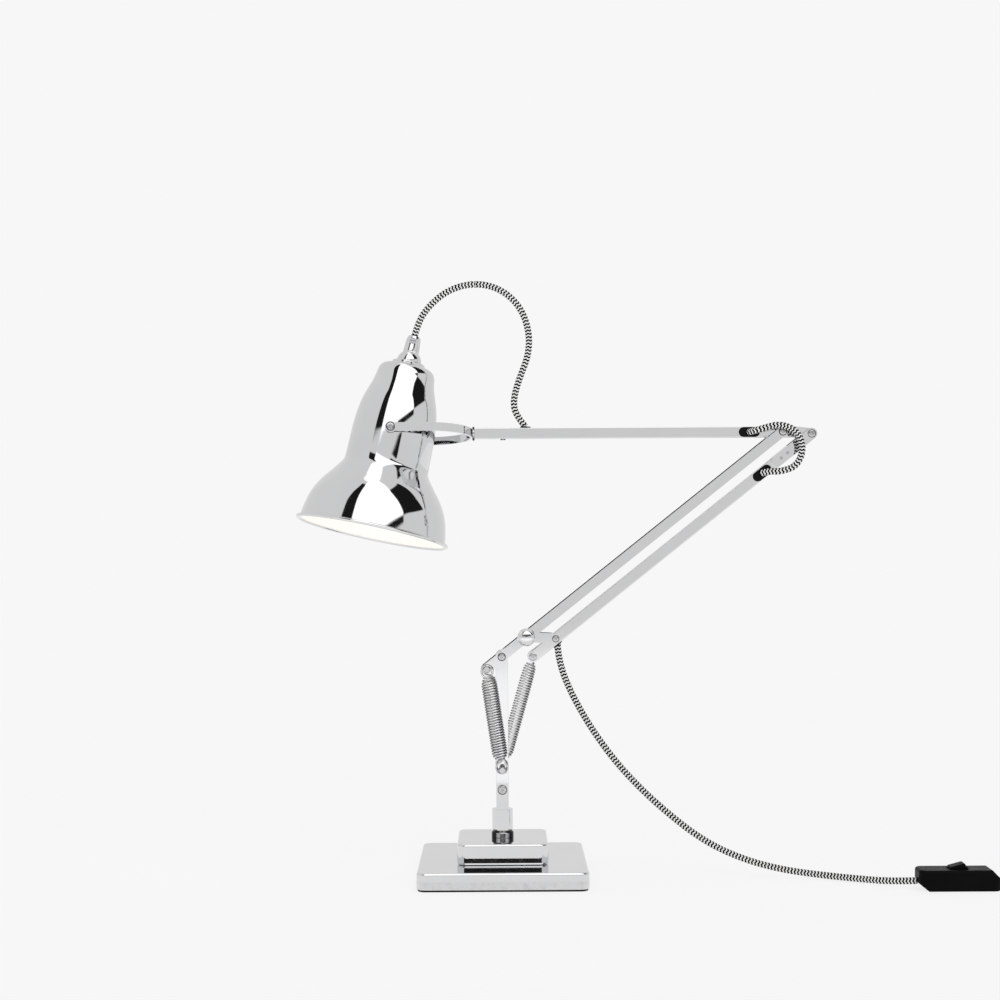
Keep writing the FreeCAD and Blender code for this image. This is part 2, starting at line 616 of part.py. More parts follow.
def make_control_rod():
    full = (TAIL_PIVOT - ROD_END).Length
    link_at = ROD_TAIL
    outer, inner = box_tube(full - ROD_TUBE_START, ROD_SIDE, ROD_SIDE, ROD_WALL)
    round_end = Part.makeCylinder(ROD_HALF, ROD_SIDE, V(0, -ROD_HALF, 0), AXIS_Y)
    tube = outer.fuse(round_end)
    tail_hook_slot = Part.makeBox(ROD_SIDE, 2 * SPRING_WIRE + 1.0, 2 * ROD_SIDE,
                                  V(-ROD_SIDE + 4.4, -SPRING_WIRE - 0.5, -ROD_SIDE))
    hollow = inner.cut(Part.makeBox(8, ROD_SIDE, ROD_SIDE, V(0, -ROD_HALF, -ROD_HALF)))
    tube = tube.cut(hollow).cut(tail_hook_slot)
    tube = tube.cut(Part.makeCylinder(SPRING_BOLT_R, 2 * ROD_SIDE, V(0, -ROD_SIDE, 0), AXIS_Y))
    tube = tube.cut(Part.makeCylinder(SMALL_PIVOT_R + OPEN_PIVOT_CLEARANCE, 2 * ROD_SIDE,
                                      V(link_at, -ROD_SIDE, 0), AXIS_Y))
    exit_x = link_at - CORD_EXIT_BACK
    tube = tube.cut(Part.makeCylinder(FLEX_R + 1.0, ROD_SIDE, V(exit_x, 0, -ROD_SIDE), AXIS_Z))
    entry_x = full - FLEX_ENTRY_FROM_TAIL
    tube = tube.cut(slot_cutter(entry_x, SLOT_LENGTH, SLOT_WIDTH, ROD_HALF))
    add("control_rod_tube", solid(swung(tube, ROD_END, ARM_ANGLE)))

    grommet = stadium_plate(entry_x, GROMMET_LENGTH, GROMMET_WIDTH, -ROD_HALF - GROMMET_PROUD,
                            GROMMET_PROUD)
    grommet = grommet.fuse(stadium_plate(entry_x, SLOT_LENGTH, SLOT_WIDTH, -ROD_HALF, ROD_WALL))
    hole = Part.makeCylinder(FLEX_R, ROD_SIDE, V(entry_x, -ROD_SIDE, 0), AXIS_Y)
    add("rod_grommets", solid(swung(grommet.cut(hole), ROD_END, ARM_ANGLE)))

    exit_ring = Part.makeCylinder(FLEX_R + 2.0, GROMMET_PROUD, V(exit_x, 0, -ROD_HALF - GROMMET_PROUD))
    exit_ring = exit_ring.fuse(Part.makeCylinder(FLEX_R + 1.0, ROD_WALL, V(exit_x, 0, -ROD_HALF), AXIS_Z))
    exit_ring = exit_ring.cut(Part.makeCylinder(FLEX_R, ROD_SIDE, V(exit_x, 0, -ROD_SIDE), AXIS_Z))
    add("rod_grommets", solid(swung(exit_ring, ROD_END, ARM_ANGLE)))

    cheek_foot = TAIL_PIVOT - ALONG * CHEEK_LENGTH
    rivets_at = [TAIL_PIVOT - ALONG * place for place in RIVET_PLACES]
    for side in SIDES:
        cheek = strip(cheek_foot, TAIL_PIVOT, ROD_SIDE, side * ROD_HALF, side * CHEEK_OUTER)
        cheek = cheek.cut(rod_y(TAIL_PIVOT, PIVOT_R, -BAR_OUTER, BAR_OUTER))
        for centre in rivets_at:
            cheek = cheek.cut(rod_y(centre, RIVET_R, -BAR_OUTER, BAR_OUTER))
            add("rod_fasteners", rod_y(centre, RIVET_R, side * ROD_HALF, side * (CHEEK_OUTER + 0.3)))
        add("rod_cheeks", solid(cheek))
    bolt, nut = through_bolt(TAIL_PIVOT, PIVOT_R, CHEEK_OUTER, PIVOT_HEAD_R, 2.0, PIVOT_NUT_AF)
    add("rod_fasteners", bolt, nut)
    shank = rod_y(ROD_END, SPRING_BOLT_R, -ROD_HALF, ROD_HALF)
    heads = [domed_head(ROD_END, PIVOT_HEAD_R, 1.3, s * ROD_HALF, s) for s in SIDES]
    add("rod_fasteners", solid(shank.multiFuse(heads)))


def stadium_plate(x, length, width, y0, thickness):
    """Oval plate on the near face of a tube drawn along +X."""
    half = (length - width) / 2
    return strip(V(x - half, 0, 0), V(x + half, 0, 0), width, y0, y0 + thickness)


def slot_cutter(x, length, width, half):
    return stadium_plate(x, length, width, -half - 1, half)


# Upper arm -----------------------------------------------------------------------------------

def make_upper_arm():
    """Drawn along +X from the elbow, then turned to point at the shade."""
    front = ARM_REACH
    tube_back = SHORT_SIDE_X * ARM_TUBE_BACK
    outer, inner = box_tube(front + tube_back, ARM_WIDTH, ARM_HEIGHT, ARM_WALL)
    shift = V(-tube_back, 0, 0)
    outer.translate(shift)
    inner.translate(shift)
    tube = outer.cut(inner)
    local_tail = V(-SHORT_SIDE_X, 0, SHORT_SIDE_DROP)
    tube = tube.cut(Part.makeCylinder(PIVOT_R + RUNNING_FIT, 40, V(0, -20, 0), AXIS_Y))
    exit_x = FLEX_EXIT_FROM_ELBOW
    tube = tube.cut(stadium_plate(exit_x, SLOT_LENGTH, SLOT_WIDTH, -ARM_HALF - 2, 4))
    entry_x = front - FLEX_ENTRY_FROM_FRONT
    tube = tube.cut(Part.makeCylinder(FLEX_R + 1.0, ARM_HEIGHT, V(entry_x, 0, -ARM_HEIGHT), AXIS_Z))
    clamp_x = entry_x + CLAMP_SCREW_FROM_ENTRY
    tube = tube.cut(Part.makeCylinder(CLAMP_SCREW_R, ARM_HEIGHT, V(clamp_x, 0, 0), AXIS_Z))
    add("upper_arm_tube", turned_about_elbow(solid(tube)))

    bore_half = ARM_HALF - ARM_WALL
    bore_height = ARM_HEIGHT - 2 * ARM_WALL
    plug = strip(ORIGIN, local_tail, bore_height, -bore_half, bore_half)
    tail = strip(V(-tube_back, 0, 0), local_tail, ARM_HEIGHT, -ARM_HALF, ARM_HALF)
    tail = tail.cut(Part.makeBox(40, 40, 40, V(-tube_back, -20, -20)))
    plug = plug.common(Part.makeBox(tube_back + 5.0, 40, bore_height, V(-tube_back, -20, -bore_height / 2)))
    tail = tail.fuse(plug)
    tail = tail.cut(Part.makeCylinder(PIVOT_R + RUNNING_FIT, 40, V(0, -20, 0), AXIS_Y))
    tail = tail.cut(Part.makeCylinder(PIVOT_R + RUNNING_FIT, 40, local_tail - AXIS_Y * 20, AXIS_Y))
    add("upper_arm_tail", turned_about_elbow(solid(tail)))

    for side in SIDES:
        add("elbow_bushes", ring_y(ELBOW, BUSH_R, PIVOT_R + RUNNING_FIT, side * ARM_HALF,
                                   side * (BAR_INNER - CLEAR_HOLE)))

    end_plug = Part.makeBox(14, ARM_WIDTH - 2 * ARM_WALL, ARM_HEIGHT - 2 * ARM_WALL,
                            V(front - 14, ARM_WALL - ARM_HALF, ARM_WALL - ARM_HEIGHT / 2))
    end_plug = end_plug.cut(Part.makeCylinder(SMALL_PIVOT_R, 20, V(front - 12, 0, 0), AXIS_X))
    add("arm_end_plug", turned_about_elbow(end_plug))

    grommet = stadium_plate(exit_x, GROMMET_LENGTH, GROMMET_WIDTH, -ARM_HALF - GROMMET_PROUD,
                            GROMMET_PROUD)
    grommet = grommet.fuse(stadium_plate(exit_x, SLOT_LENGTH, SLOT_WIDTH, -ARM_HALF, ARM_WALL))
    grommet = grommet.cut(Part.makeCylinder(FLEX_R, ARM_WIDTH, V(exit_x, -ARM_WIDTH, 0), AXIS_Y))
    add("arm_grommets", turned_about_elbow(solid(grommet)))

    ring = Part.makeCylinder(FLEX_R + 2.0, GROMMET_PROUD, V(entry_x, 0, -ARM_HEIGHT / 2 - GROMMET_PROUD))
    ring = ring.fuse(Part.makeCylinder(FLEX_R + 1.0, ARM_WALL, V(entry_x, 0, -ARM_HEIGHT / 2), AXIS_Z))
    ring = ring.cut(Part.makeCylinder(FLEX_R, 20, V(entry_x, 0, -20), AXIS_Z))
    add("arm_grommets", turned_about_elbow(solid(ring)))

    screw = Part.makeCylinder(CLAMP_SCREW_HEAD_R, 1.0, V(clamp_x, 0, ARM_HEIGHT / 2), AXIS_Z)
    shank_foot = ARM_HEIGHT / 2 - 1.6
    screw = screw.fuse(Part.makeCylinder(CLAMP_SCREW_R, 1.6, V(clamp_x, 0, shank_foot), AXIS_Z))
    add("upper_arm_fasteners", turned_about_elbow(solid(screw)))

    root = V(ARM_FRONT.x, 0, ARM_FRONT.z)
    washer = Part.makeCylinder(SWIVEL_WASHER_R, SWIVEL_WASHER_H, root, -AXIS_X)
    washer = washer.cut(Part.makeCylinder(SMALL_PIVOT_R, 20, root, -AXIS_X))
    add("upper_arm_fasteners", washer)
    bow = SWIVEL_SCREW_HEAD_R ** 2 / (2 * FORK_INNER_R)
    head_face = FORK_ROOT_X - FORK_THICKNESS - CLEAR_HOLE - bow
    shank = Part.makeCylinder(SMALL_PIVOT_R, root.x + 11 - head_face, V(head_face, 0, root.z), AXIS_X)
    head = Part.makeCylinder(SWIVEL_SCREW_HEAD_R, SWIVEL_SCREW_HEAD_H,
                             V(head_face - SWIVEL_SCREW_HEAD_H, 0, root.z), AXIS_X)
    cross = Part.makeBox(1.5, 6.0, 1.2, V(head_face - SWIVEL_SCREW_HEAD_H, -3.0, root.z - 0.6))
    cross = cross.fuse(Part.makeBox(1.5, 1.2, 6.0, V(head_face - SWIVEL_SCREW_HEAD_H, -0.6, root.z - 3.0)))
    add("upper_arm_fasteners", solid(shank.fuse(head).cut(cross)))


def turned_about_elbow(shape):
    """From the drawing line along +X to the arm's rest line, which points back over the base."""
    return swung(shape, ELBOW, 180)


# Fork and shade ------------------------------------------------------------------------------

def rolled(shape):
    shape = shape.copy()
    shape.rotate(TILT_PIVOT, AXIS_X, FORK_ROLL)
    return shape


def hung(shape):
    """Head piece drawn about the tilt pivot at the origin, carried to its tilted and rolled place."""
    shape = shape.copy()
    shape.rotate(ORIGIN, AXIS_Y, SHADE_TILT)
    shape.translate(TILT_PIVOT)
    return rolled(shape)


def make_fork():
    outer_r = FORK_INNER_R + FORK_THICKNESS
    centre = V(FORK_CENTRE_X, 0, ARM_FRONT.z - FORK_HEIGHT / 2)
    ring = Part.makeCylinder(outer_r, FORK_HEIGHT, centre).cut(
        Part.makeCylinder(FORK_INNER_R, FORK_HEIGHT, centre))
    ring = ring.common(Part.makeBox(outer_r, 2 * outer_r, FORK_HEIGHT, V(centre.x, -outer_r, centre.z)))
    fork = ring
    for side in SIDES:
        inner, outer = side * FORK_INNER_R, side * outer_r
        low = min(inner, outer)
        leg = Part.makeBox(FORK_STRAIGHT, FORK_THICKNESS, FORK_HEIGHT, V(TILT_PIVOT.x, low, centre.z))
        fork = fork.fuse(leg).fuse(rod_y(TILT_PIVOT, FORK_EAR_R, inner, outer))
    fork = fork.cut(rod_y(TILT_PIVOT, TILT_BOLT_R + RUNNING_FIT, -2 * outer_r, 2 * outer_r))
    fork = fork.cut(Part.makeCylinder(SMALL_PIVOT_R + RUNNING_FIT, 20,
                                      V(ARM_FRONT.x, 0, ARM_FRONT.z), -AXIS_X))
    add("fork", rolled(solid(fork)))


def shade_outline(inset):
    """Half outline of the shade from its neck to its rim, moved in by the wall's thickness."""
    def at(radius, drop):
        return V(radius - inset, 0, NECK_TOP - drop)
    shoulder = Part.Arc(at(NECK_TOP_R, inset), at(SHOULDER_MID_R, SHOULDER_MID_DROP + inset / 2),
                        at(SHOULDER_R, SHOULDER_DROP))
    body = Part.Arc(at(SHOULDER_R, SHOULDER_DROP), at(BODY_MID_R, BODY_MID_DROP), at(WAIST_R, WAIST_DROP))
    bell = Part.Arc(at(WAIST_R, WAIST_DROP), at(BELL_MID_R, BELL_MID_DROP), at(RIM_R, RIM_DROP))
    return [shoulder.toShape(), body.toShape(), bell.toShape()]


def shade_volume(inset):
    """Solid bounded by the outline, the axis, the neck plane and the rim plane."""
    edges = shade_outline(inset)
    top = NECK_TOP - inset
    rim = NECK_TOP - RIM_DROP
    edges.append(Part.LineSegment(V(RIM_R - inset, 0, rim), V(0, 0, rim)).toShape())
    edges.append(Part.LineSegment(V(0, 0, rim), V(0, 0, top)).toShape())
    edges.append(Part.LineSegment(V(0, 0, top), V(NECK_TOP_R - inset, 0, top)).toShape())
    wire = Part.Wire(Part.__sortEdges__(edges))
    return Part.Face(wire).revolve(ORIGIN, AXIS_Z, 360)


def make_shade():
    outside = shade_volume(0)
    inside = shade_volume(SHADE_WALL)
    bead = Part.makeTorus(RIM_R + RIM_BEAD_R - 0.5, RIM_BEAD_R, V(0, 0, NECK_TOP - RIM_DROP - 1.0))
    shell = outside.cut(inside).fuse(bead)
    shell = shell.cut(Part.makeCylinder(HOLDER_STEM_R + CLEAR_HOLE, 10, V(0, 0, NECK_TOP - 5)))
    shell = shell.cut(rod_y(ORIGIN, TILT_BOLT_R, -60, 60))
    # Two pressings that meet at the crease
    crease = NECK_TOP - WAIST_DROP
    above = Part.makeCylinder(2 * RIM_R, 2 * WAIST_DROP, V(0, 0, crease))
    add("shade_shell", hung(solid(shell.common(above))), hung(solid(shell.cut(above))))

    fork_face = FORK_INNER_R - CLEAR_HOLE
    fork_outer = FORK_INNER_R + FORK_THICKNESS + CLEAR_HOLE
    for side in SIDES:
        washer = ring_y(ORIGIN, TILT_WASHER_R, TILT_BOLT_R, side * (fork_face - 5), side * fork_face)
        add("tilt_nuts", hung(solid(washer.cut(outside))))
        nut = hexagon_y(ORIGIN, PIVOT_NUT_AF, side * (fork_face - 8), side * fork_face)
        nut = nut.cut(rod_y(ORIGIN, TILT_BOLT_R, -60, 60)).common(inside)
        add("tilt_nuts", hung(solid(nut)))
        shank = rod_y(ORIGIN, TILT_BOLT_R, side * (fork_face - 8), side * fork_outer)
        head = domed_head(ORIGIN, TILT_BOLT_HEAD_R, 2.6, side * fork_outer, side)
        add("shade_screws", hung(solid(shank.fuse(head))))


def make_holder():
    top = NECK_TOP
    collar_top = top + HOLDER_COLLAR_H
    dome_top = collar_top + HOLDER_DOME_H
    grip_top = dome_top + GRIP_HEIGHT
    collar = Part.makeCylinder(NECK_TOP_R, HOLDER_COLLAR_H, V(0, 0, top))
    collar = collar.makeFillet(1.2, edges_at(collar, lambda p: abs(p.z - collar_top) < 1e-6))
    collar = collar.cut(Part.makeCylinder(HOLDER_STEM_R, 10, V(0, 0, top - 1)))

    wire = Part.Wire([
        Part.LineSegment(V(0, 0, collar_top), V(HOLDER_DOME_R, 0, collar_top)).toShape(),
        Part.Arc(V(HOLDER_DOME_R, 0, collar_top),
                 V(HOLDER_DOME_R - 0.9, 0, collar_top + HOLDER_DOME_H * 0.55),
                 V(GRIP_FOOT_R, 0, dome_top)).toShape(),
        Part.LineSegment(V(GRIP_FOOT_R, 0, dome_top), V(0, 0, dome_top)).toShape(),
        Part.LineSegment(V(0, 0, dome_top), V(0, 0, collar_top)).toShape(),
    ])
    dome = Part.Face(wire).revolve(ORIGIN, AXIS_Z, 360)
    dome = dome.cut(Part.makeCylinder(HOLDER_STEM_R, HOLDER_DOME_H * 0.7, V(0, 0, collar_top)))
    dome = dome.cut(Part.makeCylinder(FLEX_R + CLEAR_HOLE, 40, V(0, 0, collar_top)))
    add("holder_cap", hung(solid(collar.fuse(dome))))

    grip = turned([(FLEX_R + CLEAR_HOLE, dome_top), (GRIP_FOOT_R - 0.4, dome_top),
                   (GRIP_FOOT_R, dome_top + 1.5), (GRIP_TOP_R + 0.9, grip_top - 3.0),
                   (GRIP_TOP_R, grip_top), (FLEX_R + CLEAR_HOLE, grip_top)])
    screw_z = grip_top - 5.5
    screw_axis = V(0, -1, 0)
    pilot = Part.makeCylinder(CLAMP_SCREW_R, 12, V(0, 0, screw_z), screw_axis)
    spot = Part.makeCylinder(GRIP_SCREW_R, 10, V(0, -GRIP_TOP_R + 0.2, screw_z), screw_axis)
    add("cord_grip", hung(solid(grip.cut(pilot).cut(spot))))
    screw = Part.makeCylinder(CLAMP_SCREW_R, GRIP_TOP_R - FLEX_R, V(0, -FLEX_R - CLEAR_HOLE, screw_z),
                              screw_axis)
    head = Part.makeCylinder(GRIP_SCREW_R, 1.6, V(0, -GRIP_TOP_R + 0.2, screw_z), screw_axis)
    slot = Part.makeBox(2 * GRIP_SCREW_R, 1.0, 0.9, V(-GRIP_SCREW_R, -GRIP_TOP_R - 1.4, screw_z - 0.45))
    add("shade_screws", hung(solid(screw.fuse(head).cut(slot))))

    stem_foot = top - 12.0
    stem = Part.makeCylinder(HOLDER_STEM_R, collar_top + HOLDER_DOME_H * 0.7 - stem_foot, V(0, 0, stem_foot))
    add("holder_stem", hung(stem.cut(Part.makeCylinder(FLEX_R + CLEAR_HOLE, 60, V(0, 0, stem_foot)))))

    body_top = top - SHADE_WALL
    socket_floor = body_top - 14.0
    body = turned([(0, body_top), (HOLDER_BODY_R - 5, body_top), (HOLDER_BODY_R, body_top - 4),
                   (HOLDER_BODY_R, body_top - HOLDER_BODY_H), (0, body_top - HOLDER_BODY_H)])
    body = body.cut(Part.makeCylinder(HOLDER_STEM_R, body_top - stem_foot, V(0, 0, stem_foot)))
    body = body.cut(Part.makeCylinder(BULB_CAP_R + 0.2, 60, V(0, 0, socket_floor - 60)))
    add("lampholder_body", hung(solid(body)))

    cap_foot = socket_floor - BULB_CAP_H
    cap = turned([(0, socket_floor), (4.6, socket_floor), (BULB_CAP_R - 0.6, socket_floor - 5.0),
                  (BULB_CAP_R, socket_floor - 6.5), (BULB_CAP_R, cap_foot), (0, cap_foot)])
    add("bulb_cap", hung(cap))
    globe_z = socket_floor - BULB_LENGTH + BULB_R
    glass = bulb_volume(cap_foot, globe_z, 0).cut(bulb_volume(cap_foot, globe_z, BULB_WALL))
    add("bulb_glass", hung(solid(glass)))


def bulb_volume(neck_z, globe_z, inset):
    """Pear of a bulb: a neck that widens into a globe."""
    join = globe_z + BULB_R * 0.57
    neck = turned([(0, neck_z), (BULB_CAP_R - 0.2 - inset, neck_z), (BULB_CAP_R + 2.6 - inset, neck_z - 9.0),
                   (BULB_R * 0.82 - inset, join), (0, join)])
    return neck.fuse(Part.makeSphere(BULB_R - inset, V(0, 0, globe_z)))


# Springs -------------------------------------------------------------------------------------

def coil_sleeve(start, axis, radius, length):
    """Close-wound coil as a sleeve of its own wire thickness, with tapered ends."""
    end_r = radius * SPRING_END_SHARE
    wall = SPRING_WIRE
    outline = [
        (end_r, 0), (radius, SPRING_CONE), (radius, length - SPRING_CONE), (end_r, length),
        (end_r - wall, length), (radius - wall, length - SPRING_CONE), (radius - wall, SPRING_CONE),
        (end_r - wall, 0),
    ]
    return turned(outline, start, axis)


def spring_hook(pin, pin_r, coil_end, axis, coil_r):
    """Wire eye round a pin, with a leg to the end of the coil."""
    wire_r = SPRING_WIRE / 2
    end_r = coil_r * SPRING_END_SHARE
    eye = Part.makeTorus(pin_r + wire_r, wire_r, pin, AXIS_Y)
    leg_start = pin + axis * (pin_r + wire_r)
    leg = Part.makeCylinder(wire_r, (coil_end - leg_start).Length, leg_start, axis)
    foot_out = Part.makeCylinder(wire_r, end_r - wire_r, coil_end, V(-axis.z, 0, axis.x))
    return eye.fuse(leg).fuse(foot_out)


def make_springs():
    pin_seat = SPRING_PIN_R - SPRING_GROOVE + 0.05
    axis = (SPRING_PIN - SPRING_ANCHOR).normalize()
    for side in SIDES:
        offset = V(0, side * OUTER_SPRING_Y, 0)
        foot_pin, top_pin = SPRING_ANCHOR + offset, SPRING_PIN + offset
        start = foot_pin + axis * OUTER_COIL_START
        end = start + axis * OUTER_COIL_LENGTH
        coil = coil_sleeve(start, axis, OUTER_SPRING_R, OUTER_COIL_LENGTH)
        foot = spring_hook(foot_pin, pin_seat, start, axis, OUTER_SPRING_R)
        hook = spring_hook(top_pin, pin_seat, end + axis * SPRING_END_GAP, -axis, OUTER_SPRING_R)
        add("outer_springs", solid(coil.fuse(foot)))
        add("outer_spring_hooks", solid(hook))

    axis = (ROD_END - SPRING_ANCHOR).normalize()
    start = SPRING_ANCHOR + axis * CENTRE_COIL_START
    middle = start + axis * (CENTRE_COIL_LENGTH / 2)
    end = start + axis * CENTRE_COIL_LENGTH
    coil = coil_sleeve(start, axis, CENTRE_SPRING_R, CENTRE_COIL_LENGTH)
    upper_half = Part.makeCylinder(2 * CENTRE_SPRING_R, CENTRE_COIL_LENGTH, middle, axis)
    hook = spring_hook(ROD_END, SPRING_BOLT_R + RUNNING_FIT, end, -axis, CENTRE_SPRING_R)
    add("centre_spring_top", solid(coil.common(upper_half).fuse(hook)))
    add("centre_spring_coil", solid(coil.cut(upper_half)))
    foot = spring_hook(SPRING_ANCHOR, SPRING_PIN_R + RUNNING_FIT, start - axis * SPRING_END_GAP, axis,
                       CENTRE_SPRING_R)
    add("centre_spring_foot", solid(foot))


# Flex, switch and plug -----------------------------------------------------------------------

def make_held_flex():
    arm_entry = V(ARM_FRONT.x + FLEX_ENTRY_FROM_FRONT, 0, ARM_FRONT.z)
    arm_exit = V(ELBOW.x - FLEX_EXIT_FROM_ELBOW, 0, ELBOW.z)
    rod_entry = TAIL_PIVOT - ALONG * FLEX_ENTRY_FROM_TAIL
    rod_exit = LINK_END - ALONG * CORD_EXIT_BACK

    grip_top = NECK_TOP + HOLDER_COLLAR_H + HOLDER_DOME_H + GRIP_HEIGHT
    tip = hung(Part.Vertex(0, 0, grip_top)).Point
    neck = arm_entry + V(0, 0, ARM_HEIGHT / 2 + GROMMET_PROUD)
    rise = [tip + V(*p) for p in ((0, 0, 0), (3, 0.3, 12), (12.5, 0, 29), (33.5, -1.5, 47), (61, -3.5, 54))]
    fall = [neck + V(*p) for p in ((-24, 5.5, 139), (-4.5, 4, 121), (4.5, 2.5, 96), (3.5, 1.5, 71),
                                   (-6, 0.8, 48), (-12, 0.3, 27), (-10, 0, 12), (0, 0, 0))]
    overhead = flex_tube("overhead_flex", [tuple(p) for p in rise + fall])
    add("overhead_flex", largest(cut_all(overhead, nodes["arm_grommets"])))

    add("flex_in_upper_arm", Part.makeCylinder(FLEX_R, arm_exit.x - arm_entry.x, arm_entry, AXIS_X))

    near_arm = arm_exit + V(0, -ARM_HALF - GROMMET_PROUD, 0)
    near_rod = rod_entry + V(0, -ROD_HALF - GROMMET_PROUD, 0)
    out = [near_arm + V(*p) for p in ((0, 0, 0), (3, -6, 0.5), (11, -12, 2.8), (28, -14.5, 7.2),
                                      (45, -14.5, 0.4))]
    home = [near_rod + V(*p) for p in ((39, -14.2, 24), (32.5, -14, 6.5), (17, -11.5, 1), (5, -5.5, 1.5),
                                       (0, 0, 0))]
    elbow = flex_tube("elbow_flex", [tuple(p) for p in out + home])
    around = nodes["arm_grommets"] + nodes["rod_grommets"] + nodes["upper_arm_tube"]
    add("elbow_flex", largest(cut_all(elbow, around)))
    add("flex_in_rod", Part.makeCylinder(FLEX_R, (rod_entry - rod_exit).Length, rod_exit, ALONG))


def make_power_flex():
    tube = flex_tube("power_flex", POWER_FLEX_ROUTE)
    add("power_flex", largest(cut_all(tube, nodes["rod_grommets"])))
    far_end = SWITCH_END + AXIS_X * SWITCH_LENGTH
    tail = [tuple(far_end + V(*p)) for p in TAIL_FLEX_ROUTE]
    ring = Part.makeCylinder(COIL_OUTER_R, COIL_HEIGHT, COIL_CENTRE)
    ring = ring.cut(Part.makeCylinder(COIL_INNER_R, COIL_HEIGHT, COIL_CENTRE))
    ring = ring.makeFillet(FLEX_R, [e for e in ring.Edges if len(e.Vertexes) == 1])
    add("flex_coil", ring)
    add("switch_flex", flex_tube("switch_flex", tail))
    lead = [tuple(COIL_CENTRE + V(*p)) for p in PLUG_FLEX_ROUTE]
    add("plug_flex", largest(flex_tube("plug_flex", lead).cut(ring)))
    return V(*lead[-1]), V(*lead[-1]) - V(*lead[-2])


def make_switch():
    x0 = SWITCH_END.x
    x1 = x0 + SWITCH_LENGTH
    y0 = SWITCH_END.y
    top = SWITCH_LOWER_H + SWITCH_UPPER_H
    pivot = V(x0 + SWITCH_LENGTH / 2, y0, top - ROCKER_PIVOT_DROP)

    def outline(z0, z1):
        box = Part.makeBox(SWITCH_LENGTH, SWITCH_WIDTH, z1 - z0, V(x0, y0 - SWITCH_WIDTH / 2, z0))
        upright = [e for e in box.Edges if abs(e.Vertexes[0].Z - e.Vertexes[-1].Z) > 1e-6]
        return box.makeFillet(SWITCH_CORNER, upright)

    def block(length, width, z0, z1):
        return Part.makeBox(length, width, z1 - z0, V(pivot.x - length / 2, y0 - width / 2, z0))

    def end_slope(x, inward, z0, z1):
        """Wedge off one end of the case, from the face at z0 to the end at z1."""
        points = [(x, z0), (x + inward * SWITCH_END_SLOPE, z0), (x, z1)]
        return prism([(px, y0 - SWITCH_WIDTH, z) for px, z in points], V(0, 2 * SWITCH_WIDTH, 0))

    groove = Part.makeCylinder(FLEX_R, SWITCH_LENGTH + 2, V(x0 - 1, y0, SWITCH_END.z), AXIS_X)
    hollow_length = SWITCH_LENGTH - 2 * SWITCH_END_BLOCK
    hollow_width = SWITCH_WIDTH - 2 * SWITCH_WALL
    lower = outline(0, SWITCH_LOWER_H)
    lower = lower.makeFillet(SWITCH_FOOT_ROUND, edges_at(lower, lambda p: p.z < 1e-6))
    lower = lower.cut(end_slope(x0, 1, 0, SWITCH_LOWER_H * 0.8))
    lower = lower.cut(block(hollow_length, hollow_width, SWITCH_WALL, SWITCH_LOWER_H)).cut(groove)

    upper = outline(SWITCH_LOWER_H, top)
    upper = upper.makeFillet(SWITCH_EDGE_ROUND, edges_at(upper, lambda p: abs(p.z - top) < 1e-6))
    upper = upper.cut(end_slope(x1, -1, top, SWITCH_LOWER_H + 1.5))
    upper = upper.cut(block(hollow_length, hollow_width, SWITCH_LOWER_H, top - SWITCH_WALL))
    base_reach = math.hypot(ROCKER_BASE / 2, 0.5) + ROCKER_WINDOW_GAP
    window_width = ROCKER_WIDTH + 2 * ROCKER_WINDOW_GAP
    lug_foot = pivot.z - ROCKER_PIN_R - ROCKER_LUG
    upper = upper.fuse(block(3 * ROCKER_LUG, window_width + 2 * ROCKER_LUG, lug_foot, top - SWITCH_WALL))
    upper = upper.cut(block(2 * base_reach, window_width, lug_foot, top)).cut(groove)

    face = y0 - ROCKER_WIDTH / 2
    half_top, half_base = ROCKER_TOP / 2, ROCKER_BASE / 2
    profile = [(-half_top, ROCKER_RISE), (half_top, ROCKER_RISE), (half_base, -0.5),
               (half_base - 3.0, -ROCKER_BELLY), (3.0 - half_base, -ROCKER_BELLY), (-half_base, -0.5)]
    rocker = prism([(pivot.x + x, face, pivot.z + z) for x, z in profile], V(0, ROCKER_WIDTH, 0))
    rocker = rocker.cut(rod_y(pivot, ROCKER_PIN_R + RUNNING_FIT, face, face + ROCKER_WIDTH))
    rocker.rotate(pivot, AXIS_Y, -ROCKER_TILT)
    add("switch_rocker", solid(rocker))
    pin_half = window_width / 2 + ROCKER_LUG
    pin = rod_y(pivot, ROCKER_PIN_R, y0 - pin_half, y0 + pin_half)
    add("switch_fasteners", pin)

    for x in (x0 + SWITCH_SCREW_INSET, x1 - SWITCH_SCREW_INSET):
        for side in SIDES:
            y = y0 + side * SWITCH_SCREW_SPREAD
            screw = rod_z(SWITCH_SCREW_HEAD_R, 1.0, 2.6, x, y)
            screw = screw.fuse(rod_z(SWITCH_SCREW_R, 2.6, SWITCH_LOWER_H + 4.0, x, y))
            lower = lower.cut(rod_z(SWITCH_SCREW_HEAD_R, 0, 1.0, x, y)).cut(screw)
            upper = upper.cut(screw)
            add("switch_fasteners", solid(screw))
    add("switch_lower_case", solid(lower))
    add("switch_upper_case", solid(upper.cut(pin)))


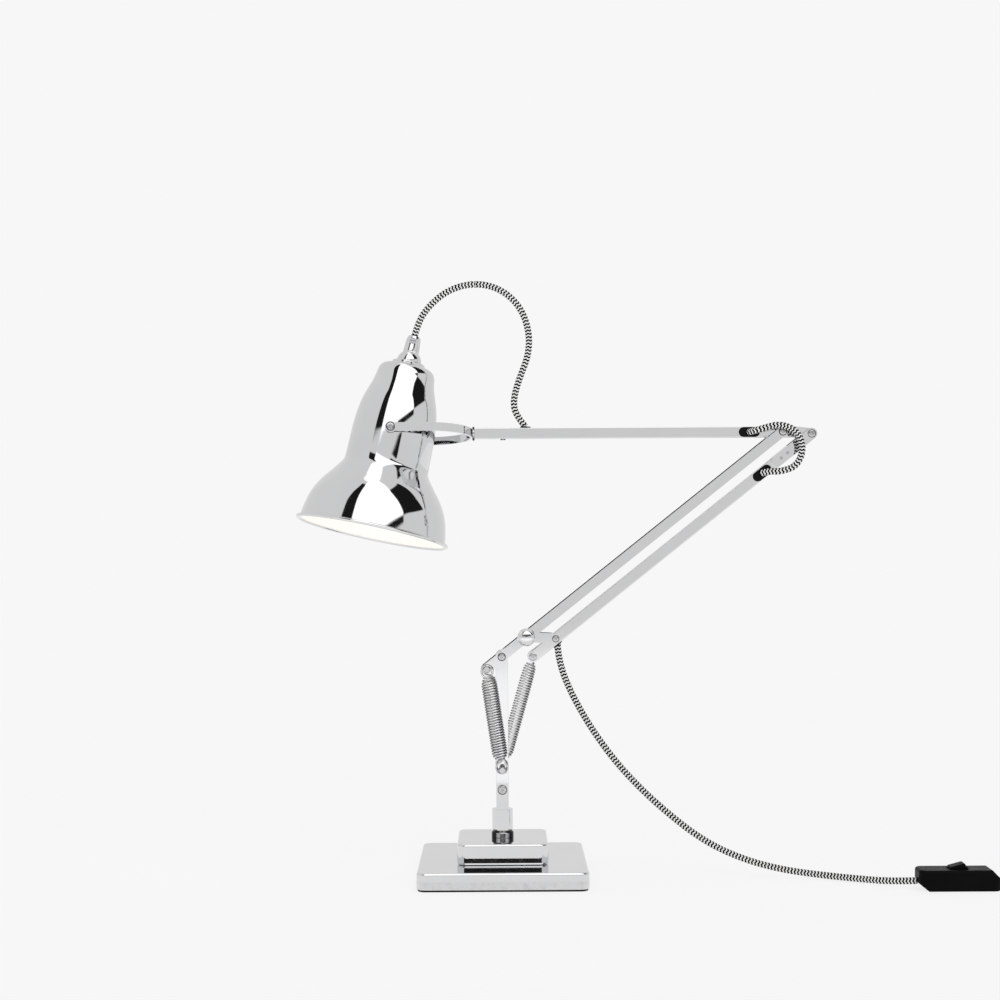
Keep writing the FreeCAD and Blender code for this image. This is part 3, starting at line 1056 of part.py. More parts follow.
def make_plug(start, heading):
    axis = V(heading.x, heading.y, 0).normalize()
    relief = turned([(FLEX_R, 0), (FLEX_R + 1.4, 0), (FLEX_R + 3.4, PLUG_RELIEF_LENGTH),
                     (FLEX_R, PLUG_RELIEF_LENGTH)], start, axis)
    inside = Part.makeCylinder(FLEX_R, PLUG_RELIEF_LENGTH, start, axis)
    add("plug_strain_relief", solid(relief.fuse(inside)))
    face = start + axis * PLUG_RELIEF_LENGTH
    body = turned([(0, 0), (PLUG_R * 0.5, 0), (PLUG_R * 0.86, 7), (PLUG_R * 0.86, PLUG_BODY_LENGTH - 13),
                   (PLUG_R, PLUG_BODY_LENGTH - 9), (PLUG_R, PLUG_BODY_LENGTH), (0, PLUG_BODY_LENGTH)],
                  face, axis)
    side = V(-axis.y, axis.x, 0)
    tip = face + axis * PLUG_BODY_LENGTH
    straight = PLUG_PIN_LENGTH + PLUG_PIN_ROOT - PLUG_PIN_R
    for sign in (-1, 1):
        foot = tip + side * (sign * PLUG_PIN_SPACING / 2) - axis * PLUG_PIN_ROOT
        pin = Part.makeCylinder(PLUG_PIN_R, straight, foot, axis)
        pin = solid(pin.fuse(Part.makeSphere(PLUG_PIN_R, foot + axis * straight)))
        body = body.cut(pin)
        add("plug_pins", pin)
    add("plug_body", solid(body))


def main():
    make_base()
    make_socket()
    make_post()
    make_lower_arm()
    make_knob()
    make_cross_links()
    make_control_rod()
    make_upper_arm()
    make_fork()
    make_shade()
    make_holder()
    make_springs()
    make_held_flex()
    make_switch()
    plug_start, plug_heading = make_power_flex()
    make_plug(plug_start, plug_heading)
    os.makedirs("parts", exist_ok=True)
    for name, solids in nodes.items():
        shape = solids[0] if len(solids) == 1 else Part.makeCompound(solids)
        shape.exportStep(os.path.join("parts", f"{name}.step"))
        print(f"{name}: {len(shape.Solids)} solid(s), valid {shape.isValid()}, volume {shape.Volume:.0f}")
    print(len(nodes), "nodes")


main()
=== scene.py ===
import json
import math

import bmesh
import bpy
from mathutils import Matrix, Vector


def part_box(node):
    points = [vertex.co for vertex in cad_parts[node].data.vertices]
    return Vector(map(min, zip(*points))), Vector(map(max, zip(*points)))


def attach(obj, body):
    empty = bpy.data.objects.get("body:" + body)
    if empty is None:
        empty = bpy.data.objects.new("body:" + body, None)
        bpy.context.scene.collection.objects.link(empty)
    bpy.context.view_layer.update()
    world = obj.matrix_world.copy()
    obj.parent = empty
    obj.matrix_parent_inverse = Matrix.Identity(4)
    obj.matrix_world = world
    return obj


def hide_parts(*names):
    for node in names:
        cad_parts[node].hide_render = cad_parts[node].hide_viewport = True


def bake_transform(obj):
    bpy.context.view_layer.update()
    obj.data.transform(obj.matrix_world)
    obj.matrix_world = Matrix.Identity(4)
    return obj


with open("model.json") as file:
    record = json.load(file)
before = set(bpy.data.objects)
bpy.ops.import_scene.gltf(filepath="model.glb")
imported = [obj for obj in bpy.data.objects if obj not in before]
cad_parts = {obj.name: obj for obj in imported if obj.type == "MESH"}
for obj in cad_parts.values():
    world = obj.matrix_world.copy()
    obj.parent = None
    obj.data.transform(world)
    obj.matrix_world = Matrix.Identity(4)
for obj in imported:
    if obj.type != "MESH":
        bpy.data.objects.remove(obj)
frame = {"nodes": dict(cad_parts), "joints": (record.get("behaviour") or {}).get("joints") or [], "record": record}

bl_info = {
    "name": "Swing Arm Desk Lamp",
    "version": (1, 0, 0),
    "blender": (4, 5, 0),
    "location": "3D View > Sidebar > Lamp",
    "description": "Finishes the desk lamp: chrome, woven flex, springs, switch, plug and studio",
    "category": "Object",
}

MM = 0.001
TINY = 0.001 * MM  # points nearer than this are one point
JOINTS = {joint["name"]: joint for joint in frame["joints"]}
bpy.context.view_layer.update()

# Places that the frame gives
TILT_PIVOT = Vector(JOINTS["shade_tilt"]["pos_m"])
ELBOW = Vector(JOINTS["elbow"]["pos_m"])
MAIN_PIVOT = Vector(JOINTS["lower_arm_raise"]["pos_m"])
KNOB_PIVOT = Vector(JOINTS["knob_turn"]["pos_m"])
SPRING_ANCHOR = Vector(JOINTS["outer_spring_swing"]["pos_m"])
ROD_END = Vector(JOINTS["centre_spring_swing"]["pos_m"])
TAIL_PIVOT = Vector(JOINTS["rod_tail"]["pos_m"])
ARM_FRONT = Vector(JOINTS["head_swivel"]["pos_m"])
ARM_DIRECTION = Vector((ELBOW.x - MAIN_PIVOT.x, 0, ELBOW.z - MAIN_PIVOT.z)).normalized()
SPRING_PIN = MAIN_PIVOT - ARM_DIRECTION * 19.0 * MM

# The shade's own frame: +Z along its axis, origin on the tilt pivot
SHADE_ROLL = math.radians(-6.4)
SHADE_TILT = math.radians(12.0)
SHADE_FRAME = (Matrix.Translation(TILT_PIVOT) @ Matrix.Rotation(SHADE_ROLL, 4, "X")
               @ Matrix.Rotation(SHADE_TILT, 4, "Y"))
NECK_TOP = 70.0 * MM

# Outlines of the spun pieces: radius, and drop below the top of the neck, in millimetres
SHADE_OUTLINE = [
    (5.2, 0), (14, 0), (23.5, 0), (28.6, 5), (29.8, 15), (33.2, 26), (38.2, 40), (41.4, 62), (42.0, 88),
    (42.2, 103), (43.6, 106.5), (52.4, 118.5), (60.6, 128.5), (68.4, 143), (72.2, 159), (73.8, 170.5),
]
BULB_OUTLINE = [
    (0, 122.9), (9, 122.9), (22, 119), (30.2, 106), (31, 91), (26.5, 76), (19, 64), (15.5, 52),
    (14.0, 44), (13.1, 39.9),
]

# Routes of the flex: control points in millimetres
DROP_ROUTE = [
    (55.8, 0, 230.9), (57, 0, 212), (70.5, -1, 178.6), (91.4, -2, 142.5), (118.3, -3, 106.4),
    (153.6, -4, 70.8), (197, -7, 36), (236, -11, 17.4), (275, -18, 7.6), (313, -31, 4.4),
    (346, -49, 4.2), (372, -67, 5.2), (395, -79, 8.2),
]
SWITCH_EXIT = Vector((473, -79, 8.2))
TAIL_ROUTE = [(0, 0, 0), (18, 0.5, -3.2), (38, 0.2, -4.8), (60, -0.6, -4.9), (81, -0.9, -4.9)]
COIL_CENTRE = Vector((566, -37, 0))
PLUG_ROUTE = [(43.6, 9, 10.2), (43.4, 22, 14.2), (43, 34, 18.5), (43, 46, 18.5)]
RISE_ROUTE = [(0, 0, 0), (3, 0.3, 12), (12.5, 0, 29), (33.5, -1.5, 47), (61, -3.5, 54)]
FALL_ROUTE = [(-24, 5.5, 139), (-4.5, 4, 121), (4.5, 2.5, 96), (3.5, 1.5, 71),
              (-6, 0.8, 48), (-12, 0.3, 27), (-10, 0, 12), (0, 0, 0)]
ELBOW_OUT = [(0, 0, 0), (3, -6, 0.5), (11, -12, 2.8), (28, -14.5, 7.2), (45, -14.5, 0.4)]
ELBOW_HOME = [(39, -14.2, 24), (32.5, -14, 6.5), (17, -11.5, 1), (5, -5.5, 1.5), (0, 0, 0)]

# Where the loops leave and enter the metal, in millimetres
GRIP_MOUTH = 31.0  # over the top of the neck
ARM_FRONT_GROMMET = (51.0, 0, 6.75)  # from the front of the upper arm
ELBOW_GROMMET = (-32.5, -6.6, 0)  # from the elbow
ROD_GROMMET_REACH = 63.0  # down the control rod from its upper pivot
ROD_GROMMET_SIDE = (0, -6.8, 0)

TRAY_TOP = 18.0 * MM
STEP_WIDTH = 89.5 * MM
BASE_CORNER = 9.0 * MM
BASE_EDGE = 2.4 * MM

COIL_TURNS_EACH_LAYER = 2.618
COIL_OUTSIDE = 43.2
COIL_INSIDE = 25.7
COIL_LOW = 3.3
COIL_HIGH = 9.9
COIL_POINTS_PER_TURN = 14
COIL_CLIMB_TURNS = 0.2

# The plug's strain relief, in millimetres
RELIEF_RIBS = 6
RELIEF_RIB_SHARE = 0.62
RELIEF_WALL = 1.2
RELIEF_GROWTH = 2.0
RELIEF_GROOVE = 0.7

# Where the free flex is handed from one moving body to the next, along its length in metres
DROP_SECTIONS = [("links", "lower_arm", 0.045), ("lower_arm", "post", 0.110), ("post", "base", 0.200)]


# Settings ------------------------------------------------------------------------------------

class LampSizes(bpy.types.PropertyGroup):
    """Sizes of the pieces that are modelled here."""
    flex_diameter: bpy.props.FloatProperty(
        name="Flex diameter", description="Outside diameter of the woven flex",
        default=0.0065, unit="LENGTH")
    weave_pitch: bpy.props.FloatProperty(
        name="Weave pitch", description="Length of flex that one dark and one light band take up",
        default=0.0033, unit="LENGTH")
    weave_zigzags: bpy.props.IntProperty(
        name="Weave zigzags", description="Zigzags of the weave around the flex", default=5)
    shade_wall: bpy.props.FloatProperty(
        name="Shade wall", description="Thickness of the shade's metal", default=0.0009, unit="LENGTH")
    rim_bead: bpy.props.FloatProperty(
        name="Rim bead", description="Radius of the rolled edge of the shade",
        default=0.0019, unit="LENGTH")
    spring_wire: bpy.props.FloatProperty(
        name="Spring wire", description="Diameter of the spring wire", default=0.0017, unit="LENGTH")
    spring_pitch: bpy.props.FloatProperty(
        name="Spring pitch", description="Distance from one turn of a spring to the next",
        default=0.0026, unit="LENGTH")


class LampColours(bpy.types.PropertyGroup):
    """Colours of the finishes."""
    chrome: bpy.props.FloatVectorProperty(
        name="Chrome", description="Reflected colour of the chrome plating", subtype="COLOR",
        default=(0.72, 0.725, 0.73), min=0, max=1)
    steel: bpy.props.FloatVectorProperty(
        name="Steel", description="Reflected colour of screws and pins", subtype="COLOR",
        default=(0.55, 0.55, 0.56), min=0, max=1)
    enamel: bpy.props.FloatVectorProperty(
        name="Enamel", description="White lining of the shade", subtype="COLOR",
        default=(0.90, 0.89, 0.87), min=0, max=1)
    dark_thread: bpy.props.FloatVectorProperty(
        name="Dark thread", description="Dark thread of the woven flex", subtype="COLOR",
        default=(0.003, 0.003, 0.003), min=0, max=1)
    light_thread: bpy.props.FloatVectorProperty(
        name="Light thread", description="Light thread of the woven flex", subtype="COLOR",
        default=(0.92, 0.92, 0.90), min=0, max=1)
    black_plastic: bpy.props.FloatVectorProperty(
        name="Black plastic", description="Moulded switch and plug", subtype="COLOR",
        default=(0.004, 0.004, 0.004), min=0, max=1)


def sizes():
    return bpy.context.scene.lamp_sizes


def colours():
    return bpy.context.scene.lamp_colours


# Finishes ------------------------------------------------------------------------------------

COLOUR_A = 6  # the two colour inputs and the colour output of a Mix node
COLOUR_B = 7
COLOUR_OUT = 2
BLACK = (0, 0, 0, 1)
# near black mixed into the edges of small metal parts: painted dark reflection
PAINTED_DARK_RIM = (0.02, 0.02, 0.02, 1)

ZIGZAG_REACH = 0.75  # how far a zigzag leans along the flex, in bands
FRAYING = 0.07
BAND_STEPS = ((0.05, 1.0), (0.42, 1.0), (0.48, 0.0))  # place in the band and share of light thread
THREADS_AROUND = 96


class Nodes:
    """A node tree, with the kinds of node that the finishes and the studio light are made from."""

    def __init__(self, tree):
        self.tree = tree

    def add(self, kind, inputs=None, **settings):
        """Add a node; an input is linked if it is given a socket, and set if it is given a value."""
        new = self.tree.nodes.new(kind)
        for key, value in settings.items():
            setattr(new, key, value)
        for key, value in (inputs or {}).items():
            if isinstance(value, bpy.types.NodeSocket):
                self.tree.links.new(value, new.inputs[key])
            else:
                new.inputs[key].default_value = value
        return new

    def maths(self, operation, first, second=None):
        inputs = {0: first} if second is None else {0: first, 1: second}
        return self.add("ShaderNodeMath", inputs, operation=operation).outputs[0]

    def spread(self, value, low, high, start=0.0, stop=1.0):
        """Carry a value from the range start to stop over to low to high, and hold it at the ends."""
        inputs = {"Value": value, "From Min": start, "From Max": stop, "To Min": low, "To Max": high}
        return self.add("ShaderNodeMapRange", inputs).outputs["Result"]

    def mixed(self, share, first, second, clamp=True):
        mix = self.add("ShaderNodeMix", {"Factor": share, COLOUR_A: first, COLOUR_B: second},
                       data_type="RGBA", clamp_factor=clamp)
        return mix.outputs[COLOUR_OUT]


class Surface(Nodes):
    """A fresh material on the piece's own coordinates."""

    def __init__(self, name):
        self.material = bpy.data.materials.new(name)
        self.material.use_nodes = True
        super().__init__(self.material.node_tree)
        self.shader = self.tree.nodes["Principled BSDF"]

    def noise(self, scale, detail=3.0, stretch=(1, 1, 1)):
        place = self.add("ShaderNodeTexCoord").outputs["Object"]
        stretched = self.add("ShaderNodeMapping", {"Vector": place, "Scale": stretch}).outputs["Vector"]
        inputs = {"Vector": stretched, "Scale": scale, "Detail": detail}
        return self.add("ShaderNodeTexNoise", inputs).outputs["Fac"]

    def tint(self, base, noise, low, high):
        """A colour that drifts between two shares of itself over a noise."""
        return self.mixed(self.spread(noise, low, high), BLACK, (*base, 1), clamp=False)

    def feed(self, socket, value):
        self.tree.links.new(value, self.shader.inputs[socket])

    def bump(self, height, strength, distance):
        inputs = {"Height": height, "Strength": strength, "Distance": distance}
        self.feed("Normal", self.add("ShaderNodeBump", inputs).outputs["Normal"])

    def gloss(self, level):
        self.shader.inputs["Specular IOR Level"].default_value = level

    def glow(self, colour, strength):
        self.shader.inputs["Emission Color"].default_value = (*colour, 1)
        self.shader.inputs["Emission Strength"].default_value = strength


def metal(name, colour, rough_low, rough_high, grain=0.02, stretch=(1, 1, 1), rim=None):
    """Plated or plain metal: tarnish in the colour, wipe marks in the roughness, a trace of ripple.

    Small polished parts get painted dark reflection where they turn away, over the range of facing that rim gives.
    """
    surface = Surface(name)
    surface.shader.inputs["Metallic"].default_value = 1.0
    plated = surface.tint(colour, surface.noise(22.0, 2.0), 0.95, 1.03)
    # painted dark reflection: where the surface turns away from view it is mixed towards near black
    if rim:
        facing = surface.add("ShaderNodeLayerWeight", {"Blend": 0.5}).outputs["Facing"]
        plated = surface.mixed(surface.spread(facing, 0.0, 1.0, *rim), plated, PAINTED_DARK_RIM)
    surface.feed("Base Color", plated)
    marks = surface.noise(160.0, 4.0, stretch)
    surface.feed("Roughness", surface.spread(marks, rough_low, rough_high, 0.35, 0.75))
    surface.bump(surface.noise(900.0, 2.0, stretch), grain, 0.2 * MM)
    return surface.material


def chrome():
    return metal("chrome_plate", colours().chrome, 0.025, 0.075, 0.012)


def turned_steel():
    """Plated screw heads: bright where they face out, with painted dark reflection round their rims."""
    return metal("turned_steel", colours().steel, 0.10, 0.24, 0.05, (1, 8, 1), rim=(0.10, 0.24))


def spring_steel():
    """Drawn wire: a bright line along each turn, and flanks darkened by painted dark reflection."""
    return metal("spring_steel", (0.78, 0.78, 0.79), 0.06, 0.16, 0.02, (1, 1, 6), rim=(0.22, 0.62))


def plated_brass():
    return metal("plated_brass", (0.56, 0.42, 0.20), 0.12, 0.24, 0.03)


def bulb_cap_metal():
    return metal("bulb_cap_metal", (0.52, 0.52, 0.53), 0.20, 0.35, 0.05)


def moulded(name, colour, rough_low, rough_high, grain_scale, grain, gloss=0.3):
    """Moulded plastic or rubber with a fine grain, and a tone that drifts at random."""
    surface = Surface(name)
    surface.feed("Base Color", surface.tint(colour, surface.noise(45.0), 0.7, 1.4))
    marks = surface.noise(240.0, 4.0)
    surface.feed("Roughness", surface.spread(marks, rough_low, rough_high, 0.3, 0.75))
    surface.gloss(gloss)
    surface.bump(surface.noise(grain_scale, 2.0), grain, 0.3 * MM)
    return surface.material


def switch_plastic():
    return moulded("switch_plastic", colours().black_plastic, 0.28, 0.42, 1800.0, 0.10, 0.03)


def plug_plastic():
    return moulded("plug_plastic", colours().black_plastic, 0.42, 0.58, 2200.0, 0.15, 0.06)


def holder_plastic():
    return moulded("holder_plastic", (0.012, 0.011, 0.010), 0.22, 0.36, 1200.0, 0.06)


def grommet_rubber():
    return moulded("grommet_rubber", (0.005, 0.005, 0.005), 0.50, 0.66, 1500.0, 0.12, 0.08)


def pad_rubber():
    return moulded("pad_rubber", (0.008, 0.008, 0.008), 0.66, 0.85, 900.0, 0.30, 0.1)


def nylon():
    return moulded("nylon", (0.62, 0.61, 0.57), 0.38, 0.52, 1100.0, 0.06)


def cast_iron():
    return moulded("cast_iron", (0.045, 0.045, 0.048), 0.60, 0.85, 700.0, 0.60)


def enamel():
    """Stove enamel inside the shade, with a faint warm painted glow that stands for the bulb's light on it."""
    surface = Surface("shade_enamel")
    surface.feed("Base Color", surface.tint(colours().enamel, surface.noise(30.0, 2.0), 0.97, 1.03))
    surface.feed("Roughness", surface.spread(surface.noise(300.0), 0.22, 0.36))
    surface.bump(surface.noise(520.0, 2.0), 0.08, 0.2 * MM)
    # painted glow: the enamel shines warm as if lit by the bulb
    surface.glow((1.0, 0.84, 0.66), 0.16)
    return surface.material


def frosted_glass():
    """Opal bulb, lit from inside."""
    surface = Surface("frosted_glass")
    surface.feed("Base Color", surface.tint((0.93, 0.91, 0.87), surface.noise(60.0, 2.0), 0.97, 1.02))
    surface.feed("Roughness", surface.spread(surface.noise(700.0, 2.0), 0.25, 0.40))
    surface.glow((1.0, 0.88, 0.70), 1.2)
    return surface.material


def woven_flex():
    """Two-colour zigzag braid that follows the flex: U runs round it and V counts bands along it."""
    surface = Surface("woven_flex")
    place = surface.add("ShaderNodeUVMap", uv_map="UVMap").outputs["UV"]
    parts = surface.add("ShaderNodeSeparateXYZ", {"Vector": place}).outputs
    around = surface.maths("MULTIPLY", parts["X"], sizes().weave_zigzags)
    zigzag = surface.maths("PINGPONG", around, 0.5)
    line = surface.maths("ADD", parts["Y"], surface.maths("MULTIPLY", zigzag, ZIGZAG_REACH))
    stray = surface.spread(surface.noise(2600.0, 2.0), -FRAYING, FRAYING)
    band = surface.maths("FRACT", surface.maths("ADD", line, stray))
    ramp = surface.add("ShaderNodeValToRGB", {"Fac": band})
    for end in ramp.color_ramp.elements:
        end.color = BLACK
    for position, level in BAND_STEPS:
        step = ramp.color_ramp.elements.new(position)
        step.color = (level, level, level, 1)
    yarn = surface.noise(1400.0, 2.0)
    light = surface.tint(colours().light_thread, yarn, 0.86, 1.06)
    dark = surface.tint(colours().dark_thread, yarn, 0.7, 1.6)
    surface.feed("Base Color", surface.mixed(ramp.outputs["Color"], dark, light))
    crown = surface.maths("PINGPONG", surface.maths("MULTIPLY", line, 2.0), 0.5)
    thread = surface.maths("PINGPONG", surface.maths("MULTIPLY", parts["X"], THREADS_AROUND), 0.5)
    surface.bump(surface.maths("ADD", crown, thread), 0.3, 0.2 * MM)
    surface.feed("Roughness", surface.spread(yarn, 0.72, 0.92))
    surface.gloss(0.05)
    return surface.material


FINISHES = {
    "chrome": chrome, "steel": turned_steel, "spring_steel": spring_steel, "cast_iron": cast_iron,
    "rubber": pad_rubber, "grommet_rubber": grommet_rubber, "nylon": nylon, "textile_flex": woven_flex,
    "switch_plastic": switch_plastic, "holder_plastic": holder_plastic, "bulb_cap_metal": bulb_cap_metal,
    "bulb_glass": frosted_glass, "plug_plastic": plug_plastic, "brass": plated_brass, "enamel": enamel,
}
made_finishes = {}


def finish(slot):
    """The material of a slot, made the first time that it is asked for."""
    if slot not in made_finishes:
        made_finishes[slot] = FINISHES[slot]()
    return made_finishes[slot]


# Mesh helpers --------------------------------------------------------------------------------

FLAT_WITHIN = math.radians(0.6)
SHARP_OVER = math.radians(34)


def new_object(name, data, *slots):
    piece = bpy.data.objects.new(name, data)
    bpy.context.scene.collection.objects.link(piece)
    for slot in slots:
        data.materials.append(finish(slot))
    return piece


def mesh_piece(name, bm, *slots):
    """Turn a finished bmesh into a piece at the origin."""
    bmesh.ops.recalc_face_normals(bm, faces=bm.faces)
    for face in bm.faces:
        face.smooth = True
    mesh = bpy.data.meshes.new(name)
    bm.to_mesh(mesh)
    bm.free()
    return new_object(name, mesh, *slots)


def place(piece, body, slot, *nodes):
    """Let a piece ride on its body and stand for its CAD nodes."""
    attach(piece, body)
    if nodes:
        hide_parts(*nodes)


def body_of_node(node):
    return next(body for body, members in frame["record"]["behaviour"]["bodies"].items() if node in members)


def slot_of_node(node):
    return next(part["material_slot"] for part in frame["record"]["subparts"] if part["node"] == node)


def guide_curve(name, points, kind="NURBS", resolution=12):
    """A curve of one open spline through or near the given points, in metres."""
    curve = bpy.data.curves.new(name + "_guide", "CURVE")
    curve.dimensions = "3D"
    curve.resolution_u = resolution
    spline = curve.splines.new(kind)
    spline.points.add(len(points) - 1)
    for point, co in zip(spline.points, points):
        point.co = (*co, 1)
    if kind == "NURBS":
        spline.order_u = 3
        spline.use_endpoint_u = True
    guide = bpy.data.objects.new(curve.name, curve)
    bpy.context.scene.collection.objects.link(guide)
    return guide


def mesh_of_guide(guide):
    """The mesh that a guide curve makes; the curve itself is thrown away."""
    bpy.context.view_layer.update()
    mesh = bpy.data.meshes.new_from_object(guide.evaluated_get(bpy.context.evaluated_depsgraph_get()))
    curve = guide.data
    bpy.data.objects.remove(guide)
    bpy.data.curves.remove(curve)
    return mesh


def read_line(name, points, resolution=12):
    """Points along the smooth line of a curve, closely spaced."""
    mesh = mesh_of_guide(guide_curve(name, points, resolution=resolution))
    line = [vertex.co.copy() for vertex in mesh.vertices]
    bpy.data.meshes.remove(mesh)
    return [co for i, co in enumerate(line) if i == 0 or (co - line[i - 1]).length > TINY]


def line_length(line):
    return sum((b - a).length for a, b in zip(line, line[1:]))


def split_line(line, at):
    """Cut a line at a length from its start; both parts share the cut point."""
    gone = 0.0
    for i in range(1, len(line)):
        step = (line[i] - line[i - 1]).length
        if gone + step >= at:
            cut = line[i - 1].lerp(line[i], (at - gone) / step)
            return line[:i] + [cut], [cut] + line[i:]
        gone += step
    raise RuntimeError(f"a line of {gone:.3f} m cannot be cut at {at:.3f} m")


def sweep(name, line, radius, sides=16, first_band=0.0):
    """Flex along a line, made by drawing a circle along it ring by ring; its UVs follow the tube."""
    last = len(line) - 1
    tangents = [(line[min(i + 1, last)] - line[max(i - 1, 0)]).normalized() for i in range(last + 1)]
    bm = bmesh.new()
    ring_of = bm.verts.layers.int.new("ring")
    side_of = bm.verts.layers.int.new("side")
    turn = Vector((0, 0, 1)).rotation_difference(tangents[0])
    matrix = Matrix.Translation(line[0]) @ turn.to_matrix().to_4x4()
    circle = bmesh.ops.create_circle(bm, cap_ends=False, radius=radius, segments=sides, matrix=matrix)
    for side, vertex in enumerate(circle["verts"]):
        vertex[side_of] = side
    first = list(bm.edges)
    edges = first
    for i in range(1, last + 1):
        drawn = bmesh.ops.extrude_edge_only(bm, edges=edges)["geom"]
        verts = [item for item in drawn if isinstance(item, bmesh.types.BMVert)]
        edges = [item for item in drawn if isinstance(item, bmesh.types.BMEdge)]
        bend = tangents[i - 1].rotation_difference(tangents[i])
        bmesh.ops.rotate(bm, cent=line[i - 1], matrix=bend.to_matrix(), verts=verts)
        bmesh.ops.translate(bm, vec=line[i] - line[i - 1], verts=verts)
        for vertex in verts:
            vertex[ring_of] = i
    lengths = [0.0]
    for a, b in zip(line, line[1:]):
        lengths.append(lengths[-1] + (b - a).length)
    uv = bm.loops.layers.uv.new("UVMap")
    pitch = sizes().weave_pitch
    for face in bm.faces:
        wraps = {loop.vert[side_of] for loop in face.loops} >= {0, sides - 1}
        for loop in face.loops:
            side = loop.vert[side_of]
            if wraps and side == 0:
                side = sides
            loop[uv].uv = (side / sides, lengths[loop.vert[ring_of]] / pitch + first_band)
    bmesh.ops.edgeloop_fill(bm, edges=first)
    bmesh.ops.edgeloop_fill(bm, edges=edges)
    for layer in ("ring", "side"):
        bm.verts.layers.int.remove(bm.verts.layers.int[layer])
    return mesh_piece(name, bm, "textile_flex")


def spun(name, profile, matrix, *slots, steps=96):
    """Surface of revolution of (radius, height) points about the matrix's Z axis."""
    bm = bmesh.new()
    verts = [bm.verts.new((radius, 0, height)) for radius, height in profile]
    edges = [bm.edges.new(pair) for pair in zip(verts, verts[1:])]
    bmesh.ops.spin(bm, geom=verts + edges, cent=(0, 0, 0), axis=(0, 0, 1), angle=2 * math.pi, steps=steps,
                   use_merge=True, use_duplicate=False)
    bmesh.ops.remove_doubles(bm, verts=bm.verts, dist=TINY)
    bmesh.ops.transform(bm, matrix=matrix, verts=bm.verts)
    return mesh_piece(name, bm, *slots)


def smooth_profile(points, resolution=10):
    """A flowing outline, in metres, from a few (radius, height) control points in millimetres."""
    line = read_line("outline", [(radius * MM, 0, height * MM) for radius, height in points], resolution)
    return [(co.x, co.z) for co in line]


def hung_profile(outline):
    """A flowing outline from radii and drops below the top of the neck."""
    return smooth_profile([(radius, NECK_TOP / MM - drop) for radius, drop in outline])


def even_shading(piece):
    normals = piece.modifiers.new("even_shading", "WEIGHTED_NORMAL")
    normals.keep_sharp = True


def soften_edges(piece, width):
    bevel = piece.modifiers.new("soft_edges", "BEVEL")
    bevel.width = width
    bevel.segments = 2
    bevel.limit_method = "ANGLE"
    bevel.angle_limit = math.radians(30)
    bevel.use_clamp_overlap = True
    bevel.harden_normals = False
    even_shading(piece)


def finished_copy(node, width):
    """A merged copy of a CAD node with true faces, softened edges and even shading."""
    bm = bmesh.new()
    bm.from_mesh(frame["nodes"][node].data)
    bmesh.ops.remove_doubles(bm, verts=bm.verts, dist=2 * TINY)
    bmesh.ops.dissolve_degenerate(bm, edges=bm.edges, dist=TINY)
    bmesh.ops.dissolve_limit(bm, angle_limit=FLAT_WITHIN, verts=bm.verts, edges=bm.edges)
    for face in bm.faces:
        face.smooth = True
        face.material_index = 0
    for edge in bm.edges:
        edge.smooth = not (edge.is_manifold and edge.calc_face_angle(0) > SHARP_OVER)
    name = node + "_finished"
    mesh = bpy.data.meshes.new(name)
    bm.to_mesh(mesh)
    bm.free()
    slot = slot_of_node(node)
    piece = new_object(name, mesh, slot)
    soften_edges(piece, width)
    place(piece, body_of_node(node), slot, node)
    return piece


# Flex ----------------------------------------------------------------------------------------

def metres(points, origin=(0, 0, 0)):
    return [(Vector(point) + Vector(origin)) * MM for point in points]


def coil_points():
    """Two flat layers of turns: in along the table, up at the middle, and out on top."""
    points = []
    count = round(COIL_TURNS_EACH_LAYER * COIL_POINTS_PER_TURN)
    climb = COIL_CLIMB_TURNS * COIL_POINTS_PER_TURN
    for k in range(1, 2 * count + 1):
        turn = k / COIL_POINTS_PER_TURN
        angle = math.radians(-90) + 2 * math.pi * turn
        share = k / count
        inward = share if share <= 1 else 2 - share
        radius = COIL_OUTSIDE + (COIL_INSIDE - COIL_OUTSIDE) * inward
        lift = min(max((k - count + climb / 2) / climb, 0), 1)
        height = COIL_LOW + (COIL_HIGH - COIL_LOW) * lift
        points.append(COIL_CENTRE + Vector((radius * math.cos(angle), radius * math.sin(angle), height)))
    return points


def as_cord(piece, line, far_end, stiffness, lay, **more):
    """Works out where a line of flex starts, how long it is and its points, and keeps none of them."""
    tuple(line[0])
    round(line_length(line), 3)
    [tuple(co) for co in line]


def held_flex(name, line, nodes=(), stiffness="stiff", lay="loose", first_band=0.0):
    """A stretch of flex between two held ends, swept along its line and fixed where it lies."""
    piece = sweep(name, line, sizes().flex_diameter / 2, first_band=first_band)
    tuple(line[0])
    tuple(line[-1])
    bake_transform(piece)
    as_cord(piece, line, "object", stiffness, lay)
    if nodes:
        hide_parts(*nodes)


def make_free_flex():
    """The flex from the control rod to the switch, cut into sections where it hangs; the last section rides on the
    base.
    """
    line = read_line("free_flex", metres(DROP_ROUTE))
    done = 0.0
    nodes = ("power_flex",)
    for number, (upper, lower, until) in enumerate(DROP_SECTIONS, 1):
        part, line = split_line(line, until - done)
        held_flex(f"free_flex_{number}", part, nodes, "medium", "hanging",
                  done / sizes().weave_pitch)
        done = until
        nodes = ()
    piece = sweep("free_flex_4", line, sizes().flex_diameter / 2, first_band=done / sizes().weave_pitch)
    place(piece, "base", "textile_flex")
    return piece, line


def make_coiled_flex():
    """The flex from the switch, round the coil and up to the plug, as one line."""
    points = metres(TAIL_ROUTE, SWITCH_EXIT) + metres(coil_points()) + metres(PLUG_ROUTE, COIL_CENTRE)
    line = read_line("coiled_flex", points, 6)
    piece = sweep("coiled_flex", line, sizes().flex_diameter / 2, sides=12)
    place(piece, "base", "textile_flex", "switch_flex", "flex_coil", "plug_flex")
    return piece, line


def make_switch():
    """In-line rocker switch: two case halves and the rocker."""
    edges = {"switch_lower_case": 0.9, "switch_upper_case": 0.9, "switch_rocker": 0.8}
    return [finished_copy(node, width * MM) for node, width in edges.items()]


